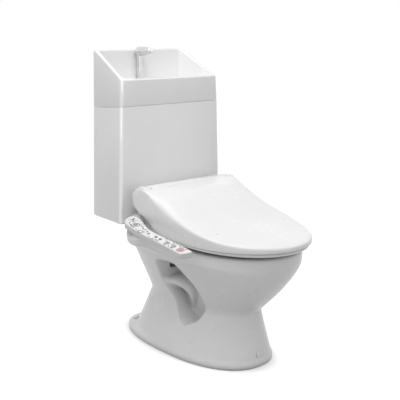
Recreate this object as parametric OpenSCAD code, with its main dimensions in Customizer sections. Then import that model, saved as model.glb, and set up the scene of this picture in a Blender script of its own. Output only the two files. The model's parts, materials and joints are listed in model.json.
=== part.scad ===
// Floor-standing toilet with a hand basin on the cistern and a bidet seat.
// The drain centre on the floor is the origin. The front faces -Y, the wall is at +Y.
// Left and right are those of a viewer who faces the toilet.

/* [Room] */
// Distance from the finished wall to the drain centre
rough_in = 200; // [190:5:240]
// Gap between the back of the cistern and the wall
wall_gap = 3; // [1:1:20]

/* [Pan] */
// Width of the foot on the floor
foot_w = 300; // [280:5:340]
// Reach of the foot ahead of the drain
foot_front = 382; // [360:2:400]
// Reach of the foot behind the drain
foot_rear = 196; // [180:2:196]
// Height of the flange round the foot
flange_h = 24; // [16:1:30]
// How far the flange stands out from the pedestal
flange_out = 4; // [2:1:14]
// Width of the waist between pedestal and bowl
waist_w = 202; // [190:2:230]
// Height of the waist
waist_z = 165; // [150:5:185]
// Reach of the waist ahead of the drain
waist_front = 351; // [335:2:370]
// Reach of the waist behind the drain
waist_rear = 88; // [80:2:110]
// Width of the rim
rim_w = 352; // [340:2:370]
// Reach of the rim ahead of the drain
rim_front = 484; // [460:2:500]
// Reach of the deck behind the drain
rim_rear = 172; // [160:2:185]
// Height of the rim above the floor
rim_z = 368; // [350:2:400]
// Height of the band round the rim
band_h = 48; // [36:2:60]
// Width of the bowl opening
bowl_w = 236; // [220:2:250]
// Front of the bowl opening ahead of the drain
bowl_front = 430; // [410:2:440]
// Back of the bowl opening ahead of the drain
bowl_back = 130; // [126:2:150]
// Height of the bottom of the bowl
sump_z = 74; // [70:1:84]
// Width of the web that holds the trap
web_w = 92; // [84:2:100]
// Diameter of the trap passage
trap_d = 54; // [46:1:56]
// Diameter of the drain outlet
outlet_d = 76; // [70:1:80]
// Height of the widened drain outlet
outlet_h = 40; // [30:2:60]
// Diameter of the floor screws
floor_screw_d = 6; // [5:0.5:8]

/* [Cistern] */
// Height of the underside of the cistern
tank_z = 400; // [396:2:420]
// Height of the joint between cistern and basin lid at the front
seam_z = 763; // [740:1:780]
// How much the joint falls to the back
seam_drop = 12; // [0:1:16]
// Width of the cistern at its underside
tank_bottom_w = 422; // [400:2:440]
// Width of the cistern at the joint
tank_top_w = 399; // [390:1:410]
// Depth of the cistern
tank_d = 172; // [166:1:180]
// How much narrower each side is at the back
tank_taper = 14; // [8:1:18]
// Bow of the front face
tank_bow = 9; // [4:1:12]
// Wall of the cistern
tank_wall = 8; // [6:1:10]
// Outside corner radius of the cistern
tank_r = 9; // [6:1:14]
// Diameter of the flush outlet in the cistern
flush_d = 62; // [56:1:66]
// Spacing of the two cistern bolts
tank_bolt_gap = 124; // [116:2:130]
// Diameter of the cistern bolts
tank_bolt_d = 8; // [6:1:10]

/* [Basin lid] */
// Height of the splash back
overall_h = 930; // [900:5:960]
// Height of the front rim of the basin
rim_front_z = 845; // [830:1:860]
// Width of the basin rim
basin_w = 389; // [380:1:395]
// Thickness of the basin rim
basin_rim = 14; // [12:1:18]
// Height of the basin floor
basin_floor_z = 796; // [790:1:806]
// Diameter of the drain hole in the basin
basin_drain_d = 34; // [28:1:38]
// Thickness of the basin floor and the splash back
basin_wall = 5; // [4:0.5:8]

/* [Spout] */
// Place of the spout left of the middle
spout_x = 18; // [10:1:30]
// Height of the spout above the floor
spout_top = 934; // [925:1:945]
// Diameter of the spout's head
spout_head_d = 27; // [24:1:30]
// Diameter of the threaded tail
spout_tail_d = 17; // [14:1:20]

/* [Flush] */
// Height of the flush lever's spindle
lever_z = 712; // [700:1:720]
// Length of the lever arm inside
lever_r = 40; // [34:1:44]
// Turn of the flush lever
lever_turn = 50; // [40:1:55]
// Diameter of the spindle
spindle_d = 10; // [8:1:12]
// Distance from the flap's hinge to the chain
flap_r = 55; // [50:1:60]
// Diameter of the overflow pipe
overflow_d = 26; // [22:1:28]
// Height of the overflow pipe
overflow_top = 656; // [640:2:660]
// Place of the fill valve right of the middle
fill_x = 150; // [146:1:152]
// Diameter of the fill valve's column
fill_d = 28; // [24:1:30]
// Diameter of the float
float_d = 68; // [60:1:72]
// Travel of the float
float_travel = 60; // [40:5:70]

/* [Bidet seat] */
// Width of the lid
seat_w = 379; // [370:1:386]
// Reach of the lid ahead of the drain
lid_front = 516; // [505:1:525]
// Height of the hinge line
hinge_z = 498; // [494:1:502]
// Distance of the hinge line ahead of the drain
hinge_y = 38; // [34:1:40]
// Height of the lid at the back
lid_top = 524; // [520:1:528]
// Height of the lid's lower edge
lid_edge = 391; // [388:1:394]
// Wall of the lid
lid_wall = 3.6; // [3:0.1:5]
// Width of the opening in the seat
seat_hole_w = 206; // [190:2:216]
// Height of the seat's underside
seat_z = 378; // [376:1:381]
// Width of the seat's main body
body_w = 314; // [300:2:316]
// Diameter of the hinge pins
pin_d = 10; // [8:1:12]
// Diameter of the spray nozzle
nozzle_d = 13; // [11:0.5:14]
// Travel of the spray nozzle
nozzle_travel = 60; // [40:5:65]
// Slope of the spray nozzle
nozzle_slope = 35; // [33:1:37]
// Spacing of the seat's fixing bolts
seat_bolt_gap = 140; // [130:1:150]

/* [Control panel] */
// Slope of the panel to the front
panel_pitch = 6.3; // [4:0.1:9]
// Slope of the panel to the side
panel_roll = 6.8; // [4:0.1:9]
// Thickness of the panel
panel_t = 17; // [14:1:20]
// Thickness of its face plate
face_t = 1.6; // [1.2:0.1:2]
// Travel of the buttons
button_travel = 1.2; // [0.8:0.1:1.4]
// Diameter of the stop button
stop_d = 17; // [14:1:18]
// Diameter of the wash buttons
wash_d = 14; // [12:1:15]
// Diameter of the arrow buttons
arrow_d = 9; // [8:0.5:10]

/* [Hidden] */

// Colours of the real materials.
china = [0.95, 0.95, 0.94];
plastic = [0.93, 0.93, 0.92];
inner_plastic = [0.85, 0.86, 0.88];
black_rubber = [0.13, 0.13, 0.14];
chrome_metal = [0.76, 0.77, 0.79];
brass_metal = [0.78, 0.62, 0.32];
grey_rubber = [0.55, 0.56, 0.58];

// Clearances.
run_gap = 0.06;   // round a shaft that turns
part_gap = 0.3;   // between a moving piece and what is beside it
slide_gap = 0.25; // round a piece that slides
fine = 48;

// ---------- Functions ----------
function mix(a, b, t) = a + (b - a) * t;
function clamp(t) = min(1, max(0, t));
function ease(t) = clamp(t) * clamp(t) * (3 - 2 * clamp(t));
function column(table, x, c) = lookup(x, [for (r = table) [r[0], r[c]]]);

// Spreads points evenly along a side and closer together towards both ends.
end_share = 0.18;
end_length = 0.12;
function spread(t) =
    t < end_share ? end_length * (1 - cos(90 * t / end_share)) :
    t > 1 - end_share ? 1 - end_length * (1 - cos(90 * (1 - t) / end_share)) :
    mix(end_length, 1 - end_length, (t - end_share) / (1 - 2 * end_share));

// Half width at y of an oval that is widest at mid. The exponents square its ends.
function oval_half(y, front, rear, mid, half, front_n, rear_n) =
    let (q = y < mid ? (mid - y) / (mid - front) : (y - mid) / (rear - mid),
         n = y < mid ? front_n : rear_n)
    half * pow(max(0, 1 - pow(min(1, q), n)), 1 / n);

// One oval ring, anticlockwise from its front. An oval is
// [front, rear, mid, half width, front exponent, rear exponent].
function oval_ring(z, o, side) = [
    for (k = [0:2 * side - 1])
        let (t = k <= side ? k / side : 2 - k / side,
             y = o[0] + (o[1] - o[0]) * spread(t),
             w = oval_half(y, o[0], o[1], o[2], o[3], o[4], o[5]))
        [(k <= side ? 1 : -1) * w, y, z]
];
function grown(o, d) = [o[0] - d, o[1] + d, o[2], o[3] + d, o[4], o[5]];

// A closed solid through a stack of rings that run anticlockwise seen from above.
module skin(rings) {
    n = len(rings[0]);
    last = len(rings) - 1;
    polyhedron(
        points = [for (r = rings, p = r) p],
        faces = concat(
            [[for (j = [0:n - 1]) j]],
            [[for (j = [n - 1:-1:0]) last * n + j]],
            [for (i = [0:last - 1], j = [0:n - 1])
                [i * n + j, (i + 1) * n + (j + 1) % n, i * n + (j + 1) % n]],
            [for (i = [0:last - 1], j = [0:n - 1])
                [i * n + j, (i + 1) * n + j, (i + 1) * n + (j + 1) % n]]),
        convexity = 8);
}

// The same for a ring-shaped solid: the last ring joins the first.
module loop_skin(rings) {
    n = len(rings[0]);
    m = len(rings);
    polyhedron(
        points = [for (r = rings, p = r) p],
        faces = concat(
            [for (i = [0:m - 1], j = [0:n - 1])
                [i * n + j, (i + 1) % m * n + (j + 1) % n, i * n + (j + 1) % n]],
            [for (i = [0:m - 1], j = [0:n - 1])
                [i * n + j, (i + 1) % m * n + j, (i + 1) % m * n + (j + 1) % n]]),
        convexity = 8);
}

module mirrored() {
    children();
    mirror([1, 0, 0]) children();
}

module washer(outer_d, inner_d, h) {
    difference() {
        cylinder(d = outer_d, h = h, $fn = fine);
        translate([0, 0, -1]) cylinder(d = inner_d, h = h + 2, $fn = fine);
    }
}

// A straight bar along X between two places.
module x_bar(x0, x1, y, z, d) {
    translate([x0, y, z]) rotate([0, 90, 0]) cylinder(d = d, h = x1 - x0, $fn = fine);
}

// ---------- Pan ----------
pan_side = 44;
band_z = rim_z - band_h;
pan_mid_low = -132;
pan_mid_waist = -150;
pan_mid_rim = -260;
core = web_w / 2;

function foot_oval(d) = grown([-foot_front, foot_rear, pan_mid_low, foot_w / 2, 2.3, 2.5], d);

// The pedestal narrows to the waist.
function pedestal_oval(z) =
    let (t = clamp((z - flange_h) / (waist_z - flange_h)), u = 1 - t)
    [-mix(waist_front, foot_front - flange_out, u),
     mix(waist_rear, foot_rear - 46, u),
     mix(pan_mid_waist, pan_mid_low, u),
     mix(waist_w / 2, foot_w / 2 - flange_out, pow(u, 1.15)), 2.25, 2.5];

// The bowl widens from the waist to the rim.
function bowl_oval(z) =
    let (t = clamp((z - waist_z) / (band_z - waist_z)))
    [-mix(waist_front, rim_front - 6, 1 - pow(1 - t, 1.35)),
     mix(waist_rear, rim_rear - 6, t),
     mix(pan_mid_waist, pan_mid_rim, t),
     mix(waist_w / 2, rim_w / 2 - 8, t), 2.2, 2.5];

function rim_oval(d) = grown([-rim_front, rim_rear, pan_mid_rim, rim_w / 2, 2.1, 2.5], d);
function body_oval(z) = z < waist_z ? pedestal_oval(z) : bowl_oval(z);

// Each side is open between bowl and rear column. The outline of the opening, [y, z].
side_opening = [
    [-150, 102], [-160, 99], [-172, 101], [-190, 107], [-204, 114], [-217, 124], [-229, 138],
    [-239, 155], [-245, 173], [-247, 192], [-245, 214], [-239, 236], [-228, 253], [-211, 269],
    [-196, 281], [-184, 292], [-170, 301], [-150, 303], [-125, 302], [-100, 301], [-80, 297],
    [-69, 287], [-64, 270], [-63, 244], [-67, 222], [-84, 200], [-97, 174], [-110, 151],
    [-123, 130], [-137, 113]];
opening_mid = [-140, 200];
opening_l = 150;
opening_in = 0.86;
opening_out = 1.12;

// The trap shows in that opening as an arched band. By angle about its middle:
// outer radius, half thickness and half width.
arch_y = -75;
arch_z = 160;
arch = [
    [-20, 80, 22, 88], [40, 80, 22, 103], [70, 82, 21, 113], [92, 84, 21, 114], [118, 87, 22, 98],
    [145, 89, 20, 81], [165, 84, 14, 71], [185, 75, 7, 62], [215, 70, 4, 45]];
arch_steps = 24;
arch_sides = 24;
arch_square = 0.6;
function arch_ring(a) =
    let (r = column(arch, a, 1), t = column(arch, a, 2), w = column(arch, a, 3))
    [for (k = [0:arch_sides - 1])
        let (b = 360 * k / arch_sides, q = r - t + t * cos(b))
        [-w * sign(sin(b)) * pow(abs(sin(b)), arch_square),
         arch_y + q * cos(a), arch_z + q * sin(a)]];

function pan_ring(z) = oval_ring(z, body_oval(z), pan_side);

// Rows up the outside, every 13 mm or so between the foot and the rim's band.
pan_rows = 22;
function pan_row_z(i) = mix(flange_h + 6, band_z - 4, i / pan_rows);

// The inside of the bowl: share of its depth, front, back, half width.
bowl_rows = [
    [0.12, -bowl_front, -bowl_back, bowl_w / 2 + 1],
    [0.155, -bowl_front - 12, -bowl_back + 4, bowl_w / 2 + 12],
    [0.20, -bowl_front - 10, -bowl_back - 14, bowl_w / 2 + 10],
    [0.28, -bowl_front - 4, -bowl_back - 52, bowl_w / 2 + 4],
    [0.40, -bowl_front + 24, -bowl_back - 88, bowl_w / 2 - 10],
    [0.52, -bowl_front + 58, -bowl_back - 106, bowl_w / 2 - 32],
    [0.65, -bowl_front + 104, -bowl_back - 106, bowl_w / 2 - 52],
    [0.78, -bowl_front + 134, -bowl_back - 84, bowl_w / 2 - 68],
    [0.90, -bowl_front + 170, -bowl_back - 44, bowl_w / 2 - 80],
    [0.98, -bowl_front + 204, -bowl_back - 42, bowl_w / 2 - 92],
    [1.0, -bowl_front + 216, -bowl_back - 54, bowl_w / 2 - 104]];
function bowl_ring(r) =
    oval_ring(mix(rim_z, sump_z, r[0]), [r[1], r[2], (r[1] + r[2]) / 2, r[3], 2.2, 2.2], pan_side);
function opening_ring(z, d) =
    oval_ring(z, grown([-bowl_front, -bowl_back, -(bowl_front + bowl_back) / 2,
                        bowl_w / 2, 2.2, 2.2], d), pan_side);

// The trap: a bend behind the weir, up from the sump and down to the drain.
bend_r = 38;
bend_z = 150;
bend_turn = 125;
rise_l = 152;
module trap_passage() {
    translate([0, 0, -1]) cylinder(d = outlet_d, h = outlet_h + 1, $fn = fine);
    translate([0, 0, outlet_h - 1]) cylinder(d = trap_d, h = bend_z - outlet_h + 1, $fn = fine);
    translate([0, -bend_r, bend_z]) rotate([90, 0, 90])
        rotate_extrude(angle = bend_turn, $fn = fine)
            translate([bend_r, 0]) circle(d = trap_d, $fn = fine);
    translate([0, -bend_r + bend_r * cos(bend_turn), bend_z + bend_r * sin(bend_turn)])
        rotate([bend_turn - 180, 0, 0])
            translate([0, 0, -rise_l]) cylinder(d = trap_d + 4, h = rise_l + 3, $fn = fine);
}

tank_front_y = rough_in - wall_gap - tank_d;
tank_mid_y = tank_front_y + tank_d / 2;
shelf_z = tank_z - 14;
shelf_w = 200;
shelf_y0 = 34;
shelf_y1 = 152;
flush_y = 85;
seat_bolt_y = -50;
nut_room_z = band_z - 14;
nut_room_h = 46;
nut_room_d = 46;
floor_screw_x = 60;
floor_screw_y = foot_rear - 46;
front_screw_z = 38;
front_screw_y = pedestal_oval(front_screw_z)[0];
front_cap_d = 22;
seal_h = 10;
bolt_y = flush_y + 15;
shelf_t = 26;

module rear_pocket() {
    hull() {
        translate([core + 2, shelf_y0 + 4, 240]) cube([5, 200, 1]);
        translate([core + 2, shelf_y0 + 4, shelf_z - shelf_t - 1]) cube([30, 200, 1]);
    }
}

module side_cut() {
    translate([core, opening_mid[0], opening_mid[1]]) rotate([90, 0, 90])
        linear_extrude(opening_l, scale = opening_out / opening_in)
            polygon([for (p = side_opening) (p - opening_mid) * opening_in]);
}

module pan_shell() {
    difference() {
        skin(concat(
            [oval_ring(0, foot_oval(-4), pan_side)],
            [oval_ring(4, foot_oval(0), pan_side)],
            [oval_ring(flange_h - 10, foot_oval(0), pan_side)],
            [oval_ring(flange_h - 2, foot_oval(-3), pan_side)],
            [for (i = [0:pan_rows]) pan_ring(pan_row_z(i))],
            [oval_ring(band_z, bowl_oval(band_z), pan_side)],
            [oval_ring(band_z + 12, rim_oval(-1), pan_side)],
            [oval_ring(rim_z - 12, rim_oval(0), pan_side)],
            [oval_ring(rim_z - 4, rim_oval(-2), pan_side)],
            [oval_ring(rim_z, rim_oval(-8), pan_side)],
            [opening_ring(rim_z, 5), opening_ring(rim_z - 5, 0)],
            [for (r = bowl_rows) bowl_ring(r)]));
        mirrored() side_cut();
    }
}

module bowl_pan() {
    color(china) difference() {
        union() {
            pan_shell();
            skin([for (i = [0:arch_steps]) arch_ring(-20 + 235 * i / arch_steps)]);
            translate([-shelf_w / 2, shelf_y0, rim_z - 3])
                cube([shelf_w, shelf_y1 - shelf_y0, shelf_z - rim_z + 3]);
        }
        trap_passage();
        // Flush water runs from the shelf forward to the rim.
        translate([0, flush_y, rim_z - 56]) cylinder(d = flush_d + 4, h = 80, $fn = fine);
        translate([0, flush_y, rim_z - 40]) rotate([90, 0, 0])
            cylinder(d = 30, h = flush_y + bowl_back + 12, $fn = fine);
        mirrored() rear_pocket();
        for (s = [-1, 1]) {
            translate([s * tank_bolt_gap / 2, bolt_y, shelf_z - shelf_t - 4])
                cylinder(d = tank_bolt_d + 4, h = shelf_t + 8, $fn = fine);
            translate([s * seat_bolt_gap / 2, seat_bolt_y, nut_room_z])
                cylinder(d = 15, h = rim_z - nut_room_z + 4, $fn = fine);
            translate([s * seat_bolt_gap / 2, seat_bolt_y, nut_room_z - nut_room_h])
                cylinder(d = nut_room_d, h = nut_room_h, $fn = fine);
            translate([s * seat_bolt_gap / 2 - nut_room_d / 2 + 3, seat_bolt_y - 42, nut_room_z - nut_room_h + 2])
                cube([nut_room_d - 6, 42, nut_room_h - 4]);
            translate([s * floor_screw_x, floor_screw_y, -1])
                cylinder(d = floor_screw_d + 1, h = 60, $fn = fine);
            translate([s * floor_screw_x, floor_screw_y, flange_h - 2])
                cylinder(d = 24, h = 60, $fn = fine);
        }
        translate([0, front_screw_y - 12, front_screw_z]) rotate([-90, 0, 0]) {
            cylinder(d = floor_screw_d, h = 62, $fn = fine);
            cylinder(d = front_cap_d + 0.6, h = 16.5, $fn = fine);
        }
        translate([0, 0, -1]) cylinder(d = outlet_d + 22, h = seal_h + 1, $fn = fine);
    }
}

module outlet_seal() {
    color(black_rubber) washer(outlet_d + 22, outlet_d, seal_h);
}

screw_head_h = 4;
module floor_screws() {
    color(brass_metal) {
        for (s = [-1, 1]) translate([s * floor_screw_x, floor_screw_y, 0]) {
            translate([0, 0, 1]) cylinder(d = floor_screw_d, h = flange_h - 3, $fn = fine);
            translate([0, 0, flange_h - 2]) cylinder(d = 14, h = screw_head_h, $fn = fine);
        }
        translate([0, front_screw_y + 7, front_screw_z]) rotate([-90, 0, 0])
            cylinder(d = floor_screw_d, h = 36, $fn = fine);
    }
}

cap_d = 20;
cap_h = 11;
module floor_screw_caps() {
    color(plastic) {
        for (s = [-1, 1]) translate([s * floor_screw_x, floor_screw_y, flange_h - 2]) difference() {
            union() {
                cylinder(d = cap_d, h = cap_h - 4, $fn = fine);
                translate([0, 0, cap_h - 4]) cylinder(d1 = cap_d, d2 = cap_d - 8, h = 4, $fn = fine);
            }
            translate([0, 0, -1]) cylinder(d = 15, h = screw_head_h + 1.3, $fn = fine);
        }
        // The front cap closes the screw's hole in the pedestal.
        translate([0, front_screw_y - 1.5, front_screw_z]) rotate([-90, 0, 0]) {
            cylinder(d1 = front_cap_d - 2, d2 = front_cap_d, h = 1.2, $fn = fine);
            translate([0, 0, 1.2]) cylinder(d = front_cap_d, h = 4.8, $fn = fine);
            translate([0, 0, 6]) cylinder(d = floor_screw_d, h = 2.5, $fn = fine);
        }
    }
}

// ---------- Cistern ----------
tank_points = 9;
lean = (tank_bottom_w - tank_top_w) / 2 / (seam_z - tank_z);
function tank_half(z) = tank_bottom_w / 2 - (z - tank_z) * lean;
function seam_at(y) = seam_z - seam_drop * (y - tank_front_y) / tank_d;

// Outline of the cistern at half width w, moved inwards by d: bowed front, narrower back.
function tank_outline(w, d, r) =
    let (x0 = w - d, x1 = w - tank_taper - d, y0 = tank_front_y + d,
         y1 = tank_front_y + tank_d - d, n = tank_points)
    concat(
        [for (i = [0:n]) let (s = -1 + 2 * i / n) [s * (x0 - r), y0 - tank_bow * (1 - s * s)]],
        [for (a = [-60, -30, 0]) [x0 - r + r * cos(a), y0 + r + r * sin(a)]],
        [for (i = [1:n]) let (t = i / n) [mix(x0, x1, t), mix(y0 + r, y1 - r, t)]],
        [for (a = [30, 60]) [x1 - r + r * cos(a), y1 - r + r * sin(a)]],
        [for (i = [0:n]) let (s = 1 - 2 * i / n) [s * (x1 - r), y1]],
        [for (a = [120, 150]) [-x1 + r + r * cos(a), y1 - r + r * sin(a)]],
        [for (i = [n:-1:1]) let (t = i / n) [-mix(x0, x1, t), mix(y0 + r, y1 - r, t)]],
        [for (a = [180, 210, 240]) [-x0 + r + r * cos(a), y0 + r + r * sin(a)]]);
function flat_ring(z, w, d, r) = [for (p = tank_outline(w, d, r)) [p[0], p[1], z]];
function seam_ring(below, w, d, r) = [for (p = tank_outline(w, d, r)) [p[0], p[1], seam_at(p[1]) - below]];

lever_y = 106;
lever_pad_x = tank_top_w / 2 - 1;
lever_hole_d = 18;
seam_gap = 0.8;
inlet_d = 21;

module cistern_tank() {
    r = tank_r;
    floor_z = tank_z + tank_wall;
    inner_r = max(2, r - tank_wall + 3);
    color(china) difference() {
        union() {
            skin([
                flat_ring(tank_z, tank_half(tank_z), 4, r),
                flat_ring(tank_z + 4, tank_half(tank_z + 4), 0, r),
                seam_ring(0, tank_half(seam_z), 0, r),
                seam_ring(0, tank_half(seam_z), tank_wall, inner_r),
                flat_ring(floor_z, tank_half(floor_z), tank_wall, inner_r)]);
            // Flat pad for the lever's bush.
            x_bar(lever_pad_x - 18, lever_pad_x, lever_y, lever_z, 44);
        }
        x_bar(lever_pad_x - 30, lever_pad_x + 4, lever_y, lever_z, lever_hole_d);
        translate([0, flush_y, tank_z - 2]) cylinder(d = flush_d, h = 20, $fn = fine);
        translate([fill_x, flush_y, tank_z - 2]) cylinder(d = inlet_d + 1, h = 20, $fn = fine);
        for (s = [-1, 1]) translate([s * tank_bolt_gap / 2, bolt_y, tank_z - 2])
            cylinder(d = tank_bolt_d + 2, h = 20, $fn = fine);
    }
}

valve_tail_d = flush_d - 2;
tail_bottom = shelf_z - 22;
module tank_gasket() {
    color(black_rubber) translate([0, flush_y, shelf_z])
        washer(100, flush_d + 24, tank_z - shelf_z);
}

module tank_bolts() {
    color(brass_metal) for (s = [-1, 1]) translate([s * tank_bolt_gap / 2, bolt_y, 0]) {
        translate([0, 0, shelf_z - shelf_t - 22])
            cylinder(d = tank_bolt_d, h = tank_z + tank_wall + 3 - shelf_z + shelf_t + 22, $fn = fine);
        translate([0, 0, tank_z + tank_wall + 3]) cylinder(d = 16, h = 5, $fn = fine);
    }
}

module tank_washers() {
    color(black_rubber) for (s = [-1, 1])
        translate([s * tank_bolt_gap / 2, bolt_y, tank_z + tank_wall]) washer(24, tank_bolt_d, 3);
}

module wing_nut(bore, h) {
    difference() {
        union() {
            cylinder(d = bore + 8, h = h, $fn = fine);
            translate([-bore / 2 - 9, -2, 0]) cube([bore + 18, 4, h * 0.8]);
        }
        translate([0, 0, -1]) cylinder(d = bore, h = h + 2, $fn = fine);
    }
}

module tank_wing_nuts() {
    color(inner_plastic) for (s = [-1, 1])
        translate([s * tank_bolt_gap / 2, bolt_y, shelf_z - shelf_t - 10])
            rotate([0, 0, 90]) wing_nut(tank_bolt_d, 10);
}

// ---------- Flush valve ----------
valve_seat_z = tank_z + tank_wall + 34;
hinge_gap = 38;
flap_y = flush_y + hinge_gap;
flap_z = valve_seat_z + 8;
pipe_y = flap_y + 26;

module flush_valve_body() {
    color(inner_plastic) difference() {
        union() {
            translate([0, flush_y, tail_bottom])
                cylinder(d = valve_tail_d, h = tank_z + tank_wall - tail_bottom, $fn = fine);
            translate([0, flush_y, tank_z + tank_wall]) cylinder(d = 78, h = 6, $fn = fine);
            translate([0, flush_y, tank_z + tank_wall])
                cylinder(d = valve_tail_d, h = valve_seat_z - tank_z - tank_wall, $fn = fine);
            translate([-19, flap_y - 10, tank_z + tank_wall])
                cube([38, pipe_y - flap_y + 10, valve_seat_z - tank_z - tank_wall - 6]);
            translate([0, pipe_y, tank_z + tank_wall])
                cylinder(d = overflow_d + 8, h = valve_seat_z - tank_z - tank_wall, $fn = fine);
            // Ears for the flap's pin.
            mirrored() translate([13, flap_y - 5, tank_z + tank_wall])
                cube([5, 14, flap_z + 5 - tank_z - tank_wall]);
        }
        translate([0, flush_y, tail_bottom - 1])
            cylinder(d = valve_tail_d - 8, h = valve_seat_z - tail_bottom + 2, $fn = fine);
        translate([0, pipe_y, tank_z + tank_wall + 12])
            cylinder(d = overflow_d, h = 60, $fn = fine);
        x_bar(-24, 24, flap_y, flap_z, 6);
    }
}

module flush_valve_nut() {
    color(inner_plastic) translate([0, flush_y, tank_z - 12])
        washer(flush_d + 22, valve_tail_d, 12);
}

module overflow_pipe() {
    color(inner_plastic) translate([0, pipe_y, tank_z + tank_wall + 12])
        washer(overflow_d, overflow_d - 5, overflow_top - tank_z - tank_wall - 12);
}

module flapper_pin() {
    color(brass_metal) x_bar(-20, 20, flap_y, flap_z, 6);
}

flap_t = 4;
eye_h = 14;
chain_y = flap_y - flap_r;
module flapper() {
    color(black_rubber) difference() {
        union() {
            translate([0, flush_y, valve_seat_z + part_gap])
                cylinder(d = valve_tail_d + 4, h = flap_t, $fn = fine);
            translate([0, flush_y, valve_seat_z + part_gap - 10])
                cylinder(d1 = valve_tail_d - 22, d2 = valve_tail_d - 14, h = 10, $fn = fine);
            translate([-11, flush_y, valve_seat_z + part_gap]) cube([22, hinge_gap, flap_t + 4]);
            x_bar(-12, 12, flap_y, flap_z, 11);
            // Eye for the chain.
            translate([-1.5, chain_y - 3, valve_seat_z + part_gap]) cube([3, 6, eye_h]);
        }
        x_bar(-24, 24, flap_y, flap_z, 6 + 2 * run_gap);
    }
}

// ---------- Fill valve ----------
head_z = 650;
column_z0 = tank_z - 36;
inlet_l = 24;
shank_d = inlet_d - 0.8;
module fill_valve_column() {
    color(inner_plastic) translate([fill_x, flush_y, 0]) {
        translate([0, 0, column_z0]) cylinder(d = inlet_d, h = inlet_l, $fn = fine);
        translate([0, 0, column_z0 + inlet_l])
            cylinder(d = shank_d, h = tank_z + tank_wall + 9 - column_z0 - inlet_l, $fn = fine);
        translate([0, 0, tank_z + tank_wall + 3]) cylinder(d = fill_d + 12, h = 6, $fn = fine);
        translate([0, 0, tank_z + tank_wall + 9])
            cylinder(d = fill_d, h = head_z - tank_z - tank_wall - 9, $fn = fine);
    }
}

head_d = 46;
head_h = 36;
nipple_z = head_z + 20;
nipple_l = 9;
module fill_valve_head() {
    color(inner_plastic) translate([fill_x, flush_y, head_z]) {
        cylinder(d = head_d, h = head_h - 8, $fn = fine);
        translate([0, 0, head_h - 8]) cylinder(d1 = head_d, d2 = head_d - 14, h = 8, $fn = fine);
        translate([0, 0, nipple_z - head_z]) rotate([0, -90, 0])
            cylinder(d = 10, h = head_d / 2 + nipple_l, $fn = fine);
    }
}

float_h = 64;
float_z = head_z - 26 - float_travel - float_h;
module float_cup() {
    color([0.25, 0.27, 0.3]) translate([fill_x, flush_y, float_z])
        washer(float_d, fill_d + 2 * slide_gap, float_h);
}

module inlet_nut() {
    color(inner_plastic) translate([fill_x, flush_y, tank_z - 10]) difference() {
        cylinder(d = inlet_d + 14, h = 10, $fn = 6);
        translate([0, 0, -1]) cylinder(d = shank_d, h = 12, $fn = fine);
    }
}

module inlet_washer() {
    color(black_rubber) translate([fill_x, flush_y, tank_z + tank_wall]) washer(fill_d + 10, shank_d, 3);
}

// ---------- Flush lever ----------
bush_out = 5;
bush_nut_t = 6;
module lever_bush() {
    color(chrome_metal) difference() {
        union() {
            x_bar(lever_pad_x, lever_pad_x + bush_out, lever_y, lever_z, 38);
            x_bar(lever_pad_x - 30, lever_pad_x + 1, lever_y, lever_z, lever_hole_d - 1);
        }
        x_bar(lever_pad_x - 31, lever_pad_x + bush_out + 1, lever_y, lever_z, spindle_d + 2 * run_gap);
    }
}

module lever_nut() {
    color(inner_plastic) difference() {
        x_bar(lever_pad_x - 18 - bush_nut_t, lever_pad_x - 18, lever_y, lever_z, 32);
        x_bar(lever_pad_x - 30, lever_pad_x, lever_y, lever_z, lever_hole_d - 1);
    }
}

grip_l = 72;
grip_lean = 34;
lever_x = lever_pad_x + bush_out + part_gap;
module flush_lever() {
    color(chrome_metal) {
        x_bar(0, lever_x + 12, lever_y, lever_z, spindle_d);
        x_bar(lever_x, lever_x + 14, lever_y, lever_z, 26);
        translate([lever_x + 8, lever_y, lever_z]) rotate([-grip_lean, 0, 0]) hull() {
            rotate([0, 90, 0]) translate([0, 0, -5]) cylinder(d = 22, h = 10, $fn = 32);
            translate([0, 0, -grip_l]) rotate([0, 90, 0]) cylinder(d = 15, h = 8, $fn = 32);
        }
    }
}

arm_low = lever_turn / 2;
arm_t = 5;
module lever_arm() {
    color(brass_metal) translate([0, lever_y, lever_z]) rotate([arm_low, 0, 0]) difference() {
        union() {
            translate([-5, -lever_r - 5, -arm_t / 2]) cube([10, lever_r, arm_t]);
            x_bar(-5, 8, 0, 0, 16);
        }
        x_bar(0, 9, 0, 0, spindle_d);
    }
}

// The chain hangs between the arm's tip and the flap's eye.
chain_top = lever_z - (lever_y - chain_y) * tan(arm_low) - arm_t / 2 / cos(arm_low) - 2 * part_gap;
chain_bottom = valve_seat_z + part_gap + eye_h + 1.2;
link_h = 11;
chain_links = floor((chain_top - chain_bottom) / link_h);
module pull_chain() {
    color(chrome_metal) translate([0, chain_y, chain_bottom]) {
        cylinder(d = 2, h = chain_top - chain_bottom, $fn = 24);
        for (i = [0:chain_links - 1])
            translate([0, 0, (i + 0.5) * (chain_top - chain_bottom) / chain_links]) sphere(d = 4.4, $fn = 24);
    }
}

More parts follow.
